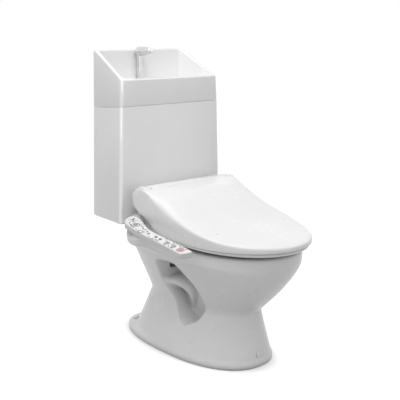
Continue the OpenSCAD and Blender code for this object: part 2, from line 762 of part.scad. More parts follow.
// ---------- Hose to the spout ----------
spout_y = 165;
tail_z0 = 742;
hose_d = 12;
hose_route = [
    [fill_x - head_d / 2 - nipple_l, flush_y, nipple_z], [fill_x - 46, flush_y, nipple_z],
    [74, 88, 668], [56, 100, 666], [44, 116, 666], [34, 134, 668], [24, 150, 674],
    [8, 161, 686], [-8, 165, 702], [-15, spout_y, 718], [-spout_x, spout_y, tail_z0 - 12],
    [-spout_x, spout_y, tail_z0 - 0.5]];
hose_sides = 10;
hose_last = len(hose_route) - 1;
function unit(v) = v / norm(v);
function hose_dir(i) = unit(hose_route[min(i + 1, hose_last)] - hose_route[max(i - 1, 0)]);
function hose_across(i) = unit(cross(hose_dir(i), [0.2, 0.9, -0.1]));
function hose_ring(i) = [
    for (a = [0:360 / hose_sides:359])
        hose_route[i] + hose_d / 2 * (cos(a) * hose_across(i) + sin(a) * cross(hose_dir(i), hose_across(i)))];
module spout_hose() {
    color(grey_rubber) skin([for (i = [0:hose_last]) hose_ring(i)]);
}

// ---------- Basin lid ----------
back_flat = 14;
function rim_at(y) =
    let (y0 = tank_front_y + 4, y1 = tank_front_y + tank_d - back_flat)
    mix(rim_front_z, overall_h, clamp((y - y0) / (y1 - y0)));
function lid_half(z) = mix(tank_top_w / 2, basin_w / 2, clamp((z - seam_z) / (rim_front_z - seam_z)));
function rim_ring(below, d, r) = [
    for (p = tank_outline(basin_w / 2, d, r)) [p[0], p[1], rim_at(p[1]) - below]];
function basin_ring(z, w, d, r) = [for (p = tank_outline(w, d, r)) [p[0], p[1], z]];
boss_d = 46;
boss_z = 818;
basin_drain_y = tank_front_y + tank_d / 2 - 4;

module basin_lid() {
    r = tank_r;
    color(china) difference() {
        union() {
            skin([
                basin_ring(basin_floor_z - basin_wall - 2, basin_w / 2, 48, 18),
                basin_ring(basin_floor_z - basin_wall + 4, basin_w / 2, basin_wall + 12, 14),
                seam_ring(-seam_gap, tank_top_w / 2, basin_wall + 1, 4),
                seam_ring(-seam_gap, tank_top_w / 2, 0, r),
                rim_ring(3, 0, r),
                rim_ring(0, 3, r),
                rim_ring(0, basin_rim - 3, r),
                rim_ring(4, basin_rim, r),
                basin_ring(basin_floor_z + 14, basin_w / 2, basin_rim + 8, 16),
                basin_ring(basin_floor_z + 3, basin_w / 2, basin_rim + 16, 20),
                basin_ring(basin_floor_z, basin_w / 2, 48, 18)]);
            translate([-spout_x, spout_y, basin_floor_z - basin_wall - 2])
                cylinder(d = boss_d, h = boss_z - basin_floor_z + basin_wall + 2, $fn = fine);
        }
        translate([-spout_x, spout_y, basin_floor_z - 30]) cylinder(d = spout_tail_d + 1, h = 60, $fn = fine);
        translate([0, basin_drain_y, basin_floor_z - 30]) cylinder(d = basin_drain_d + 1, h = 60, $fn = fine);
    }
}

module basin_strainer() {
    color(chrome_metal) translate([0, basin_drain_y, 0]) difference() {
        union() {
            translate([0, 0, basin_floor_z]) cylinder(d = basin_drain_d + 14, h = 2.5, $fn = fine);
            translate([0, 0, basin_floor_z - 26]) cylinder(d = basin_drain_d, h = 27, $fn = fine);
        }
        translate([0, 0, basin_floor_z - 27]) cylinder(d = basin_drain_d - 5, h = 26, $fn = fine);
        for (a = [0:60:300]) rotate([0, 0, a]) translate([9, 0, basin_floor_z - 4])
            cylinder(d = 6, h = 10, $fn = 24);
        translate([0, 0, basin_floor_z - 4]) cylinder(d = 6, h = 10, $fn = 24);
    }
}

module strainer_nut() {
    color(inner_plastic) translate([0, basin_drain_y, basin_floor_z - basin_wall - 2 - 7])
        washer(basin_drain_d + 14, basin_drain_d, 7);
}

// ---------- Spout ----------
head_r = spout_head_d / 2;
head_mid_z = spout_top - head_r;
spout_reach = 71;
collar_d = 21;
module hand_spout() {
    color(chrome_metal) translate([-spout_x, spout_y, 0]) difference() {
        union() {
            translate([0, 0, boss_z + 2]) cylinder(d = collar_d, h = 5, $fn = fine);
            translate([0, 0, boss_z + 7]) cylinder(d1 = 18, d2 = 21, h = head_mid_z - boss_z - 7, $fn = fine);
            translate([0, 0, tail_z0]) cylinder(d = spout_tail_d, h = boss_z + 3 - tail_z0, $fn = fine);
            hull() {
                translate([0, 2, head_mid_z]) sphere(r = head_r, $fn = 32);
                translate([0, -30, head_mid_z + 2]) sphere(r = head_r - 2, $fn = 32);
                translate([0, -52, head_mid_z + 3]) sphere(r = 8, $fn = 32);
            }
            hull() {
                translate([0, -46, head_mid_z + 3]) sphere(r = 6, $fn = 24);
                translate([0, 6 - spout_reach, head_mid_z + 2]) sphere(r = 5, $fn = 24);
            }
        }
        translate([0, 0, tail_z0 - 1]) cylinder(d = 8, h = head_mid_z - tail_z0, $fn = 24);
        translate([0, 8 - spout_reach, head_mid_z - 8]) cylinder(d = 5, h = 10, $fn = 24);
    }
}

module spout_gasket() {
    color(black_rubber) translate([-spout_x, spout_y, boss_z]) washer(collar_d, spout_tail_d + 1, 2);
}

module spout_nut() {
    color(brass_metal) translate([-spout_x, spout_y, basin_floor_z - basin_wall - 2 - 6]) difference() {
        cylinder(d = spout_tail_d + 12, h = 6, $fn = 6);
        translate([0, 0, -1]) cylinder(d = spout_tail_d, h = 8, $fn = fine);
    }
}

// ---------- Bidet seat: fixings and main body ----------
plate_t = 6;
module seat_plate() {
    color(inner_plastic) difference() {
        translate([-120, -100, rim_z]) cube([240, 96, plate_t]);
        for (s = [-1, 1]) translate([s * seat_bolt_gap / 2, seat_bolt_y, rim_z - 1])
            cylinder(d = 9, h = plate_t + 2, $fn = fine);
    }
}

seat_bolt_low = nut_room_z - nut_room_h + 4;
module seat_bolts() {
    color(inner_plastic) for (s = [-1, 1]) translate([s * seat_bolt_gap / 2, seat_bolt_y, 0]) {
        translate([0, 0, seat_bolt_low]) cylinder(d = 8, h = rim_z + plate_t - seat_bolt_low, $fn = fine);
        translate([0, 0, rim_z + plate_t]) cylinder(d = 18, h = 4, $fn = fine);
    }
}

module seat_wing_nuts() {
    color(inner_plastic) for (s = [-1, 1])
        translate([s * seat_bolt_gap / 2, seat_bolt_y, nut_room_z - 14]) wing_nut(8, 14);
}

body_z = rim_z + plate_t;
strip_z = hinge_z + 16;
body_back = -6;
// Side view of the main body, from the nose round under the lid to the back.
body_side = [
    [hinge_y + 112, body_z], [hinge_y + 112, 396], [hinge_y + 104, 418], [hinge_y + 78, 446],
    [hinge_y + 50, 478], [hinge_y + 33, strip_z], [hinge_y - 24, strip_z],
    [hinge_y - 34, strip_z - 14], [body_back + 2, 478], [body_back, 466], [body_back, body_z + 3],
    [body_back + 3, body_z]];
wing_w = rim_w;
wing_side = [
    [48, body_z + 4], [44, 398], [34, 418], [24, 430], [body_back + 2, 433],
    [body_back, 430], [body_back, body_z + 7], [body_back + 3, body_z + 4]];

module side_plate(points, width) {
    translate([-width / 2, 0, 0]) rotate([90, 0, 90]) linear_extrude(width)
        polygon([for (p = points) [-p[0], p[1]]]);
}

// The nozzle runs down and forward through the nose, just clear of the pan's edge.
nozzle_y = -bowl_back;
nozzle_z = rim_z + 11.5;
nozzle_l = 100;
nozzle_back = 22;
nose_y = bowl_back + 22;
module along_nozzle() {
    translate([0, nozzle_y, nozzle_z]) rotate([90 + nozzle_slope, 0, 0]) children();
}

module seat_body() {
    color(plastic) difference() {
        union() {
            side_plate(body_side, body_w);
            side_plate(wing_side, wing_w);
            translate([-17, -nose_y, body_z - 16]) cube([34, nose_y - bowl_back - 4, 24]);
        }
        along_nozzle() translate([0, 0, -nozzle_l])
            cylinder(d = nozzle_d + 2 * slide_gap, h = nozzle_l + nozzle_travel, $fn = fine);
        for (s = [-1, 1]) translate([s * seat_bolt_gap / 2, seat_bolt_y, body_z - 1])
            cylinder(d = 19, h = 5.4, $fn = fine);
        x_bar(-200, 200, -hinge_y, hinge_z, pin_d + 0.1);
    }
}

strip_w = body_w;
strip_side = [
    [32, 0], [31.5, 3.5], [26, 8.5], [20, 10.5], [-4, 10.5], [-18, 5], [-24, 0]];
strip_line = [for (p = strip_side) [hinge_y + p[0], strip_z + p[1]]];
module top_strip() {
    color(plastic) side_plate(strip_line, strip_w);
}

hub_x = body_w / 2 + 1.5;
hub_w = 17;
ear_x = hub_x + hub_w + 2;
pin_x0 = 132;
pin_x1 = ear_x + 8;
module hinge_pins() {
    color(chrome_metal) mirrored() x_bar(pin_x0, pin_x1, -hinge_y, hinge_z, pin_d);
}

module spray_nozzle() {
    color([0.9, 0.91, 0.92]) along_nozzle() translate([0, 0, nozzle_back - nozzle_l])
        cylinder(d = nozzle_d, h = nozzle_l - nozzle_back, $fn = fine);
}

module nozzle_tip() {
    color(chrome_metal) along_nozzle() difference() {
        cylinder(d = nozzle_d, h = 20, $fn = fine);
        translate([0, 0, 12]) rotate([-90, 0, 0]) cylinder(d = 3, h = 10, $fn = 24);
    }
}

inlet_z = body_z + 26;
module hose_inlet() {
    color(inner_plastic) difference() {
        x_bar(wing_w / 2, wing_w / 2 + 18, -16, inlet_z, 13);
        x_bar(wing_w / 2 + 2, wing_w / 2 + 20, -16, inlet_z, 8);
    }
}

module cord_gland() {
    color(plastic) difference() {
        x_bar(wing_w / 2, wing_w / 2 + 10, -16, inlet_z + 22, 12);
        x_bar(wing_w / 2 + 1, wing_w / 2 + 12, -16, inlet_z + 22, 6.4);
    }
}

// ---------- Seat ----------
seat_side = 30;
lid_half_w = seat_w / 2;
lid_mid = -267;
seat_in = 6;
seat_rear = -156;
seat_t = 20;
function seat_oval(d) =
    grown([-lid_front + seat_in, seat_rear, lid_mid, lid_half_w - seat_in, 2.1, 4.5], d);
function hole_oval(d) = grown([-452, -186, -319, seat_hole_w / 2, 2.2, 2.2], d);

// A bar in side view between two rounded places, used for the arms of seat and lid.
module side_arm(x0, x1, ends) {
    mirrored() translate([x0, 0, 0]) rotate([90, 0, 90]) linear_extrude(x1 - x0) hull()
        for (e = ends) translate([e[0], e[1]]) circle(r = e[2], $fn = 32);
}

module hinge_bore() {
    x_bar(-220, 220, -hinge_y, hinge_z, pin_d + 2 * run_gap);
}

module toilet_seat() {
    z1 = seat_z + seat_t;
    color(plastic) difference() {
        union() {
            loop_skin([
                oval_ring(seat_z, seat_oval(-4), seat_side),
                oval_ring(seat_z + 4, seat_oval(0), seat_side),
                oval_ring(z1 - 10, seat_oval(0), seat_side),
                oval_ring(z1 - 3, seat_oval(-4), seat_side),
                oval_ring(z1, seat_oval(-14), seat_side),
                oval_ring(z1 - 1, hole_oval(12), seat_side),
                oval_ring(z1 - 6, hole_oval(3), seat_side),
                oval_ring(seat_z + 6, hole_oval(0), seat_side),
                oval_ring(seat_z, hole_oval(4), seat_side)]);
            side_arm(hub_x, hub_x + hub_w, [[-hinge_y, hinge_z, 12], [-96, 434, 12], [-126, 402, 14]]);
            side_arm(hub_x, hub_x + hub_w, [[-126, 400, 13], [-176, seat_z + 12, 11]]);
        }
        hinge_bore();
    }
}

buffer_h = seat_z - rim_z;
seat_pads = [[60, -446], [130, -366]];
module seat_buffers() {
    color(grey_rubber) mirrored() for (p = seat_pads) translate([p[0], p[1], rim_z + part_gap])
        cylinder(d1 = 15, d2 = 18, h = buffer_h - part_gap, $fn = fine);
}

// ---------- Lid ----------
lid_rows = 30;
lid_back = 8;
// Height of the crease along the lid's edge, of its middle and of its lower edge, by y.
crease = [[-516, 404], [-480, 407], [-430, 410], [-380, 415], [-330, 424], [-251, 440],
          [-183, 458], [-127, 482], [-89, 507], [-50, 521], [8, 498]];
ridge = [[-516, 405], [-480, 411], [-422, 417], [-376, 423], [-338, 429], [-303, 438], [-251, 459],
         [-204, 483], [-171, 501], [-140, 517], [-110, 522], [-50, 524], [-8, 515], [8, 500]];
hem = [[-516, 391], [-200, 391], [-131, 402], [-73, 433], [-21, 458], [8, 473]];
function from_top(z) = z + lid_top - 524;
function lid_oval(d) = grown([-lid_front, lid_back, lid_mid, lid_half_w, 2.1, 24], d);

function lid_z(x, y, edge) =
    let (q = clamp(abs(x) / max(1, edge)),
         a = lookup(y, crease), b = max(a, lookup(y, ridge)))
    from_top(a + (b - a) * pow(1 - pow(q, 3), 0.6));

// One ring of the lid's upper face, at share s of the outline.
function lid_ring(s, d, down) =
    let (o = lid_oval(d), mid_y = -230)
    [for (p = oval_ring(0, o, lid_rows))
        let (x = p[0] * s, y = mid_y + (p[1] - mid_y) * s,
             edge = oval_half(y, o[0], o[1], o[2], o[3], o[4], o[5]))
        [x, y, lid_z(x, y, edge) - down]];
function hem_ring(d, up) = [
    for (p = oval_ring(0, lid_oval(d), lid_rows)) [p[0], p[1], lookup(p[1], hem) - 391 + lid_edge + up]];

strip_clear = 33 + 5.2;
slot_x = ear_x;
cover_gap = 0.6;
ear_l = 24;
// Buffers under the lid: place and the top of the boss that carries them.
lid_pads = [[66, -440, 411.5], [138, -330, 426]];
pad_h = 3;
pad_z = seat_z + seat_t + part_gap + pad_h;
module toilet_lid() {
    w = lid_wall;
    color(plastic) {
        // The strip's line goes on over the seat's hinges, as part of the lid.
        mirrored() translate([strip_w / 2 + cover_gap, 0, 0]) rotate([90, 0, 90])
            linear_extrude(lid_half_w - 4 - strip_w / 2 - cover_gap)
                polygon([for (p = strip_line) [-p[0], p[1]]]);
        lid_shell(w);
    }
}

module lid_shell(w) {
    difference() {
        union() {
            skin(concat(
                [for (s = [0.12, 0.35, 0.6, 0.82, 0.95, 1]) lid_ring(s, -w, s == 1 ? w + 5 : w)],
                [hem_ring(-w, 0.5), hem_ring(-w + 1, 0), hem_ring(0, 1.5)],
                [for (s = [1, 0.985, 0.95, 0.82, 0.6, 0.35, 0.12])
                    lid_ring(s, 0, s == 1 ? 4 : s > 0.98 ? 1 : 0)]));
            side_arm(ear_x, lid_half_w - 2.5, [[-hinge_y, hinge_z, 13], [-hinge_y - ear_l, hinge_z - 2, 13]]);
            mirrored() for (p = lid_pads) translate([p[0], p[1], pad_z])
                cylinder(d = 16, h = from_top(p[2]) - pad_z, $fn = fine);
        }
        // Room for the strip and the hinges, round the hinge line.
        x_bar(-slot_x, slot_x, -hinge_y, hinge_z, 2 * strip_clear);
        translate([-slot_x, -hinge_y, hinge_z - 80]) cube([2 * slot_x, 100, 140]);
        x_bar(-pin_x1 - 0.5, pin_x1 + 0.5, -hinge_y, hinge_z, pin_d + 2 * run_gap);
    }
}

module lid_buffers() {
    color(grey_rubber) mirrored() for (p = lid_pads)
        translate([p[0], p[1], seat_z + seat_t + part_gap]) cylinder(d = 13, h = pad_h, $fn = fine);
}

// ---------- Control panel ----------
panel_at = [-196, -24, 438];
// Outline seen square on, from the inner back corner: outer edge, front end, inner edge.
panel_outer = [[-4, 0], [-22, 0], [-43, -10], [-59, -30], [-68, -80], [-74, -135], [-77, -200],
               [-80, -262], [-84, -302]];
panel_front = [[-83, -311], [-72, -317], [-56, -323], [-48, -322]];
panel_inner = [[-44, -294], [-40, -233], [-41, -190], [-40, -150], [-35, -114], [-22, -80],
               [-8, -52], [0, -20]];
panel_plan = concat(panel_outer, panel_front, panel_inner);

module on_panel(u = 0, v = 0, w = 0) {
    translate(panel_at) rotate([panel_pitch, -panel_roll, 0]) translate([u, v, w]) children();
}

// Buttons: node, place along the panel, diameter.
heat_at = [-45, -66];
temperature_at = [-58, -142];
down_at = [-57, -176];
up_at = [-59, -197];
front_wash_at = [-61, -230];
rear_wash_at = [-63, -260];
stop_at = [-65, -291];
button_up = 1.4;
button_depth = 6;

module panel_holes(extra) {
    for (b = [[heat_at, wash_d], [temperature_at, arrow_d], [down_at, arrow_d], [up_at, arrow_d],
              [front_wash_at, wash_d], [rear_wash_at, wash_d], [stop_at, stop_d]])
        on_panel(b[0][0], b[0][1], -button_depth - button_travel - 0.4)
            cylinder(d = b[1] + 2 * slide_gap, h = 30, $fn = fine);
}

link_z = body_z + 8;
module panel_housing() {
    color(plastic) difference() {
        union() {
            on_panel(0, 0, -panel_t) linear_extrude(panel_t) polygon(panel_plan);
            // Arm from the main body.
            hull() {
                translate([-wing_w / 2 - 2, -44, link_z + 4]) cube([2, 34, 30]);
                on_panel(-20, -34, -panel_t + 1) cube([12, 30, panel_t - 4]);
            }
        }
        on_panel(0, 0, -face_t) linear_extrude(10) offset(delta = -3) polygon(panel_plan);
        panel_holes();
    }
}

module panel_face() {
    color([0.97, 0.97, 0.97]) difference() {
        on_panel(0, 0, -face_t) linear_extrude(face_t) offset(delta = -3.15) polygon(panel_plan);
        panel_holes();
        on_panel(lens_at[0], lens_at[1], -face_t - 1) cylinder(d = lens_d, h = 6, $fn = fine);
    }
}

lens_at = [-24, -26];
lens_d = 6;
module status_lens() {
    color([0.15, 0.18, 0.16]) on_panel(lens_at[0], lens_at[1], -face_t)
        cylinder(d = lens_d - 0.1, h = face_t + 0.4, $fn = fine);
}

module button(place, d, c) {
    color(c) on_panel(place[0], place[1], -button_depth) {
        cylinder(d = d, h = button_depth + button_up - 0.6, $fn = fine);
        translate([0, 0, button_depth + button_up - 0.6]) cylinder(d1 = d, d2 = d - 1.2, h = 0.6, $fn = fine);
    }
}

module heat_button() { button(heat_at, wash_d, [0.8, 0.82, 0.84]); }
module temperature_button() { button(temperature_at, arrow_d, [0.8, 0.82, 0.84]); }
module pressure_down_button() { button(down_at, arrow_d, [0.45, 0.47, 0.5]); }
module pressure_up_button() { button(up_at, arrow_d, [0.45, 0.47, 0.5]); }
module front_wash_button() { button(front_wash_at, wash_d, [0.7, 0.72, 0.75]); }
module rear_wash_button() { button(rear_wash_at, wash_d, [0.7, 0.72, 0.75]); }
module stop_button() { button(stop_at, stop_d, [0.85, 0.45, 0.45]); }

bowl_pan();
outlet_seal();
floor_screws();
floor_screw_caps();
cistern_tank();
tank_gasket();
tank_bolts();
tank_washers();
tank_wing_nuts();
flush_valve_body();
flush_valve_nut();
overflow_pipe();
flapper();
flapper_pin();
fill_valve_column();
fill_valve_head();
float_cup();
inlet_nut();
inlet_washer();
lever_bush();
lever_nut();
flush_lever();
lever_arm();
pull_chain();
spout_hose();
basin_lid();
basin_strainer();
strainer_nut();
hand_spout();
spout_gasket();
spout_nut();
seat_plate();
seat_bolts();
seat_wing_nuts();
seat_body();
top_strip();
hinge_pins();
spray_nozzle();
nozzle_tip();
hose_inlet();
cord_gland();
toilet_seat();
seat_buffers();
toilet_lid();
lid_buffers();
panel_housing();
panel_face();
status_lens();
heat_button();
temperature_button();
pressure_down_button();
pressure_up_button();
front_wash_button();
rear_wash_button();
stop_button();
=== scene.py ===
import bpy
import json
import math
from mathutils import Matrix, Vector


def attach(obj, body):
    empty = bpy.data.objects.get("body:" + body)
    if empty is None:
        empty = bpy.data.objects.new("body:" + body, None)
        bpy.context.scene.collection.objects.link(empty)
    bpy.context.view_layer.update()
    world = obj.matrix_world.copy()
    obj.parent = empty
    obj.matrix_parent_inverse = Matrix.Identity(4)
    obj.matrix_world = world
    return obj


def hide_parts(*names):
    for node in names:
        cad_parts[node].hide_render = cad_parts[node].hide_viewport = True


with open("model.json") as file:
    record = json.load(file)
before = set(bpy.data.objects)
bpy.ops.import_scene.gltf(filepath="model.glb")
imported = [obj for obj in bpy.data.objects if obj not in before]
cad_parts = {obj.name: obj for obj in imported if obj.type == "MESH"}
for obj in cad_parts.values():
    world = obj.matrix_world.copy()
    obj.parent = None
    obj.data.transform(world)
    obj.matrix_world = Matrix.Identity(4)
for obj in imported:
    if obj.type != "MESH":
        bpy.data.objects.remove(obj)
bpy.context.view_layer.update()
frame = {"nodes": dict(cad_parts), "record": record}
cadNodes = frame["nodes"]
print("stage: frame loaded")


def deselectAll():
    for item in list(bpy.context.selected_objects):
        item.select_set(False)


def makeActive(piece):
    deselectAll()
    piece.select_set(True)
    bpy.context.view_layer.objects.active = piece


# Edit mode with the whole mesh selected.
def openMesh(piece):
    makeActive(piece)
    bpy.ops.object.mode_set(mode="EDIT")
    bpy.ops.mesh.select_all(action="SELECT")


def closeMesh():
    bpy.ops.object.mode_set(mode="OBJECT")


def addObject(name, data):
    item = bpy.data.objects.new(name, data)
    bpy.context.scene.collection.objects.link(item)
    return item


def addPrimitive(operator, **values):
    deselectAll()
    operator(**values)
    return bpy.context.active_object


def applyModifier(piece, kind, **values):
    makeActive(piece)
    modifier = piece.modifiers.new(kind.lower(), kind)
    for key, value in values.items():
        setattr(modifier, key, value)
    bpy.ops.object.modifier_apply(modifier=modifier.name)


def roundEdges(piece, width, segments, degrees):
    applyModifier(piece, "BEVEL", width=width, segments=segments, limit_method="ANGLE",
                  angle_limit=math.radians(degrees))


def applyPlace(piece):
    makeActive(piece)
    bpy.ops.object.transform_apply(location=True, rotation=True, scale=True)


def smoothShade(piece, degrees):
    makeActive(piece)
    bpy.ops.object.shade_smooth_by_angle(angle=math.radians(degrees))


def joinForms(forms):
    deselectAll()
    for form in forms:
        form.select_set(True)
    bpy.context.view_layer.objects.active = forms[0]
    if len(forms) > 1:
        bpy.ops.object.join()
    return forms[0]


# Finishes.
# Each has a patchy colour, a roughness that varies, a fine surface relief and painted shade in its creases.
usualFinish = {
    "patchDetail": 3.0, "patchSpan": (0.35, 0.65), "roughSpan": (0.3, 0.7), "grainDetail": 2.0,
    "relief": 0.20, "depth": 0.0001, "paintedShadeReach": 0.03, "paintedShadeSamples": 6, "paintedShadeFrom": (0.25, 0.85),
    "paintedShadeDarkest": 0.55, "metal": 0.0, "ior": 1.5, "specular": 0.5, "coat": 0.0, "coatRough": 0.04,
    "coatIor": 1.5,
}
# The glaze's painted shade reaches only into tight grooves, such as the seam between cistern and basin.
glaze = {"patch": 5.0, "grain": 26.0, "relief": 0.10, "depth": 0.0006, "paintedShadeReach": 0.005,
         "paintedShadeDarkest": 0.30, "paintedShadeFrom": (0.45, 0.80)}
panelSkin = {"patch": 12.0, "grain": 1500.0, "ior": 1.49}
buttonSkin = {"patch": 90.0, "rough": (0.30, 0.42), "grain": 1500.0, "ior": 1.49}
printSkin = {"patch": 400.0, "rough": (0.45, 0.60), "grain": 2500.0, "ior": 1.45}
finishes = {
    "china": {**glaze, "colours": ((0.885, 0.887, 0.885), (0.915, 0.916, 0.912)),
              "rough": (0.07, 0.13), "coat": 0.15, "ior": 1.46},
    # Front edges: a real glossy coat, and a lighter colour that is a painted highlight.
    "china_gloss_and_painted_highlight": {**glaze, "colours": ((0.965, 0.966, 0.964), (0.980, 0.981, 0.978)),
                   "rough": (0.10, 0.16), "coat": 1.0, "coatIor": 2.1},
    # The pan's glaze paints shade further into its recesses, under the rim and under the panel.
    "china_body": {**glaze, "colours": ((0.880, 0.882, 0.880), (0.910, 0.911, 0.907)),
                   "rough": (0.24, 0.32), "ior": 1.42, "specular": 0.3, "paintedShadeReach": 0.09,
                   "paintedShadeDarkest": 0.60, "paintedShadeFrom": (0.2, 0.8)},
    "gloss_plastic": {"colours": ((0.875, 0.877, 0.878), (0.905, 0.906, 0.905)), "patch": 7.0,
                      "rough": (0.20, 0.30), "grain": 620.0, "relief": 0.12, "ior": 1.49},
    "panel_plastic": {**panelSkin, "colours": ((0.86, 0.862, 0.865), (0.89, 0.89, 0.89)),
                      "rough": (0.30, 0.42)},
    "panel_shell": {**panelSkin, "colours": ((0.70, 0.702, 0.705), (0.74, 0.74, 0.74)),
                    "rough": (0.34, 0.46)},
    "inner_plastic": {"colours": ((0.76, 0.77, 0.78), (0.84, 0.85, 0.86)), "patch": 22.0,
                      "rough": (0.42, 0.58), "grain": 900.0, "relief": 0.30, "depth": 0.0002,
                      "ior": 1.46},
    "float_plastic": {"colours": ((0.20, 0.22, 0.25), (0.27, 0.29, 0.32)), "patch": 18.0,
                      "rough": (0.45, 0.60), "grain": 800.0, "relief": 0.35, "depth": 0.0002,
                      "ior": 1.46},
    "black_rubber": {"colours": ((0.030, 0.030, 0.033), (0.060, 0.060, 0.065)), "patch": 40.0,
                     "rough": (0.62, 0.80), "grain": 1300.0, "relief": 0.45, "depth": 0.0002},
    "grey_rubber": {"colours": ((0.44, 0.45, 0.47), (0.52, 0.53, 0.55)), "patch": 40.0,
                    "rough": (0.55, 0.72), "grain": 1300.0, "relief": 0.40, "depth": 0.0002},
    "chrome": {"colours": ((0.72, 0.73, 0.75), (0.80, 0.81, 0.83)), "patch": 35.0,
               "rough": (0.05, 0.14), "grain": 240.0, "relief": 0.05, "metal": 1.0},
    # The spout's metal is paler towards its lower end, a painted reflection.
    "satin_metal": {"colours": ((0.66, 0.665, 0.67), (0.74, 0.745, 0.75)), "patch": 40.0,
                    "rough": (0.20, 0.30), "grain": 900.0, "relief": 0.10, "metal": 1.0,
                    "paintedShadeReach": 0.008, "paintedReflectionBelow": (0.885, 0.82), "pale": (0.97, 0.97, 0.97)},
    "brass": {"colours": ((0.66, 0.50, 0.24), (0.78, 0.63, 0.34)), "patch": 60.0,
              "rough": (0.22, 0.40), "grain": 700.0, "relief": 0.25, "metal": 1.0},
    "nozzle_plastic": {"colours": ((0.84, 0.85, 0.86), (0.90, 0.91, 0.92)), "patch": 30.0,
                       "rough": (0.16, 0.26), "grain": 900.0, "relief": 0.10, "ior": 1.49},
    "lens": {"colours": ((0.06, 0.08, 0.075), (0.10, 0.12, 0.11)), "patch": 300.0,
             "rough": (0.05, 0.10), "grain": 1500.0, "relief": 0.05, "coat": 1.0, "ior": 1.52},
    "button_grey": {**buttonSkin, "colours": ((0.60, 0.62, 0.64), (0.68, 0.70, 0.72))},
    "button_dark": {**buttonSkin, "colours": ((0.30, 0.32, 0.35), (0.38, 0.40, 0.43))},
    "button_red": {**buttonSkin, "colours": ((0.72, 0.70, 0.70), (0.80, 0.77, 0.77))},
    "print_grey": {**printSkin, "colours": ((0.05, 0.05, 0.052), (0.09, 0.09, 0.093))},
    "print_red": {**printSkin, "colours": ((0.66, 0.16, 0.16), (0.74, 0.24, 0.22))},
}
shaderValues = {"Metallic": "metal", "IOR": "ior", "Specular IOR Level": "specular", "Coat Weight": "coat",
                "Coat Roughness": "coatRough", "Coat IOR": "coatIor"}


def addNode(tree, kind, inputs=(), **settings):
    node = tree.nodes.new(kind)
    for key, setting in settings.items():
        setattr(node, key, setting)
    for socket, value in dict(inputs).items():
        node.inputs[socket].default_value = value
    return node


def addRange(tree, source, span, result):
    node = addNode(tree, "ShaderNodeMapRange", {"From Min": span[0], "From Max": span[1],
                                                "To Min": result[0], "To Max": result[1]})
    tree.links.new(source, node.inputs["Value"])
    return node.outputs["Result"]


def addNoise(tree, place, scale, detail):
    node = addNode(tree, "ShaderNodeTexNoise", {"Scale": scale, "Detail": detail})
    tree.links.new(place, node.inputs["Vector"])
    return node.outputs["Fac"]


def makeFinish(name, own):
    values = {**usualFinish, **own}
    material = bpy.data.materials.new(name)
    material.use_nodes = True
    tree = material.node_tree
    links = tree.links
    shader = tree.nodes["Principled BSDF"]
    place = addNode(tree, "ShaderNodeTexCoord").outputs["Object"]
    patch = addNoise(tree, place, values["patch"], values["patchDetail"])
    shades = addNode(tree, "ShaderNodeValToRGB")
    for k in (0, 1):
        shades.color_ramp.elements[k].position = values["patchSpan"][k]
        shades.color_ramp.elements[k].color = (*values["colours"][k], 1)
    links.new(patch, shades.inputs["Fac"])
    # Painted shade: creases and hollows are darkened by ambient occlusion.
    paintedShadeReach = addNode(tree, "ShaderNodeAmbientOcclusion", {"Distance": values["paintedShadeReach"]},
                   samples=values["paintedShadeSamples"])
    paintedShadeScale = addRange(tree, paintedShadeReach.outputs["AO"], values["paintedShadeFrom"], (values["paintedShadeDarkest"], 1.0))
    paintedShadeDim = addNode(tree, "ShaderNodeVectorMath", operation="SCALE")
    links.new(shades.outputs["Color"], paintedShadeDim.inputs[0])
    links.new(paintedShadeScale, paintedShadeDim.inputs["Scale"])
    colour = paintedShadeDim.outputs["Vector"]
    if "paintedReflectionBelow" in values:
        # Painted reflection: paler towards the lower end. The mix node takes its colours at sockets 6 and 7.
        split = addNode(tree, "ShaderNodeSeparateXYZ")
        links.new(place, split.inputs[0])
        fall = addRange(tree, split.outputs["Z"], values["paintedReflectionBelow"], (0.0, 1.0))
        blend = addNode(tree, "ShaderNodeMix", {7: (*values["pale"], 1)}, data_type="RGBA")
        links.new(fall, blend.inputs[0])
        links.new(colour, blend.inputs[6])
        colour = blend.outputs[2]
    links.new(colour, shader.inputs["Base Color"])
    rough = addRange(tree, patch, values["roughSpan"], values["rough"])
    links.new(rough, shader.inputs["Roughness"])
    relief = addNode(tree, "ShaderNodeBump", {"Strength": values["relief"], "Distance": values["depth"]})
    links.new(addNoise(tree, place, values["grain"], values["grainDetail"]), relief.inputs["Height"])
    links.new(relief.outputs["Normal"], shader.inputs["Normal"])
    for socket, key in shaderValues.items():
        shader.inputs[socket].default_value = values[key]
    return material


finishOf = {name: makeFinish(name, own) for name, own in finishes.items()}
bodies = frame["record"]["behaviour"]["bodies"]
bodyOf = {nodeName: body for body, members in bodies.items() for nodeName in members}
slotOf = {part["node"]: part["material_slot"] for part in frame["record"]["subparts"]}
for nodeName, cadNode in cadNodes.items():
    cadNode.data.materials.clear()
    cadNode.data.materials.append(finishOf[slotOf[nodeName]])
print("stage: finishes made")


# A finished piece: its name, the body that carries it, its slot, the solids it stands for and its look.
def setPiece(piece, name, body, slot, replaced=(), finish=None):
    piece.name = name
    piece.data.materials.clear()
    piece.data.materials.append(finishOf[finish or slot])
    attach(piece, body)
    if replaced:
        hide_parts(*replaced)


modelling = {"castWeld": 0.00001, "edgedWeld": 0.00002, "castSmoothing": 0.5, "edgedShade": 40}


# A copy of a modelled form, run together by a remesh and smoothed as a mould would leave it.
def castForm(name, nodeName, voxel, passes):
    piece = addObject(name, cadNodes[nodeName].data.copy())
    openMesh(piece)
    bpy.ops.mesh.remove_doubles(threshold=modelling["castWeld"])
    closeMesh()
    applyModifier(piece, "REMESH", mode="VOXEL", voxel_size=voxel, adaptivity=0.0)
    applyModifier(piece, "SMOOTH", factor=modelling["castSmoothing"], iterations=passes)
    makeActive(piece)
    bpy.ops.object.shade_smooth()
    print("piece", name, len(piece.data.polygons), "faces")
    return piece


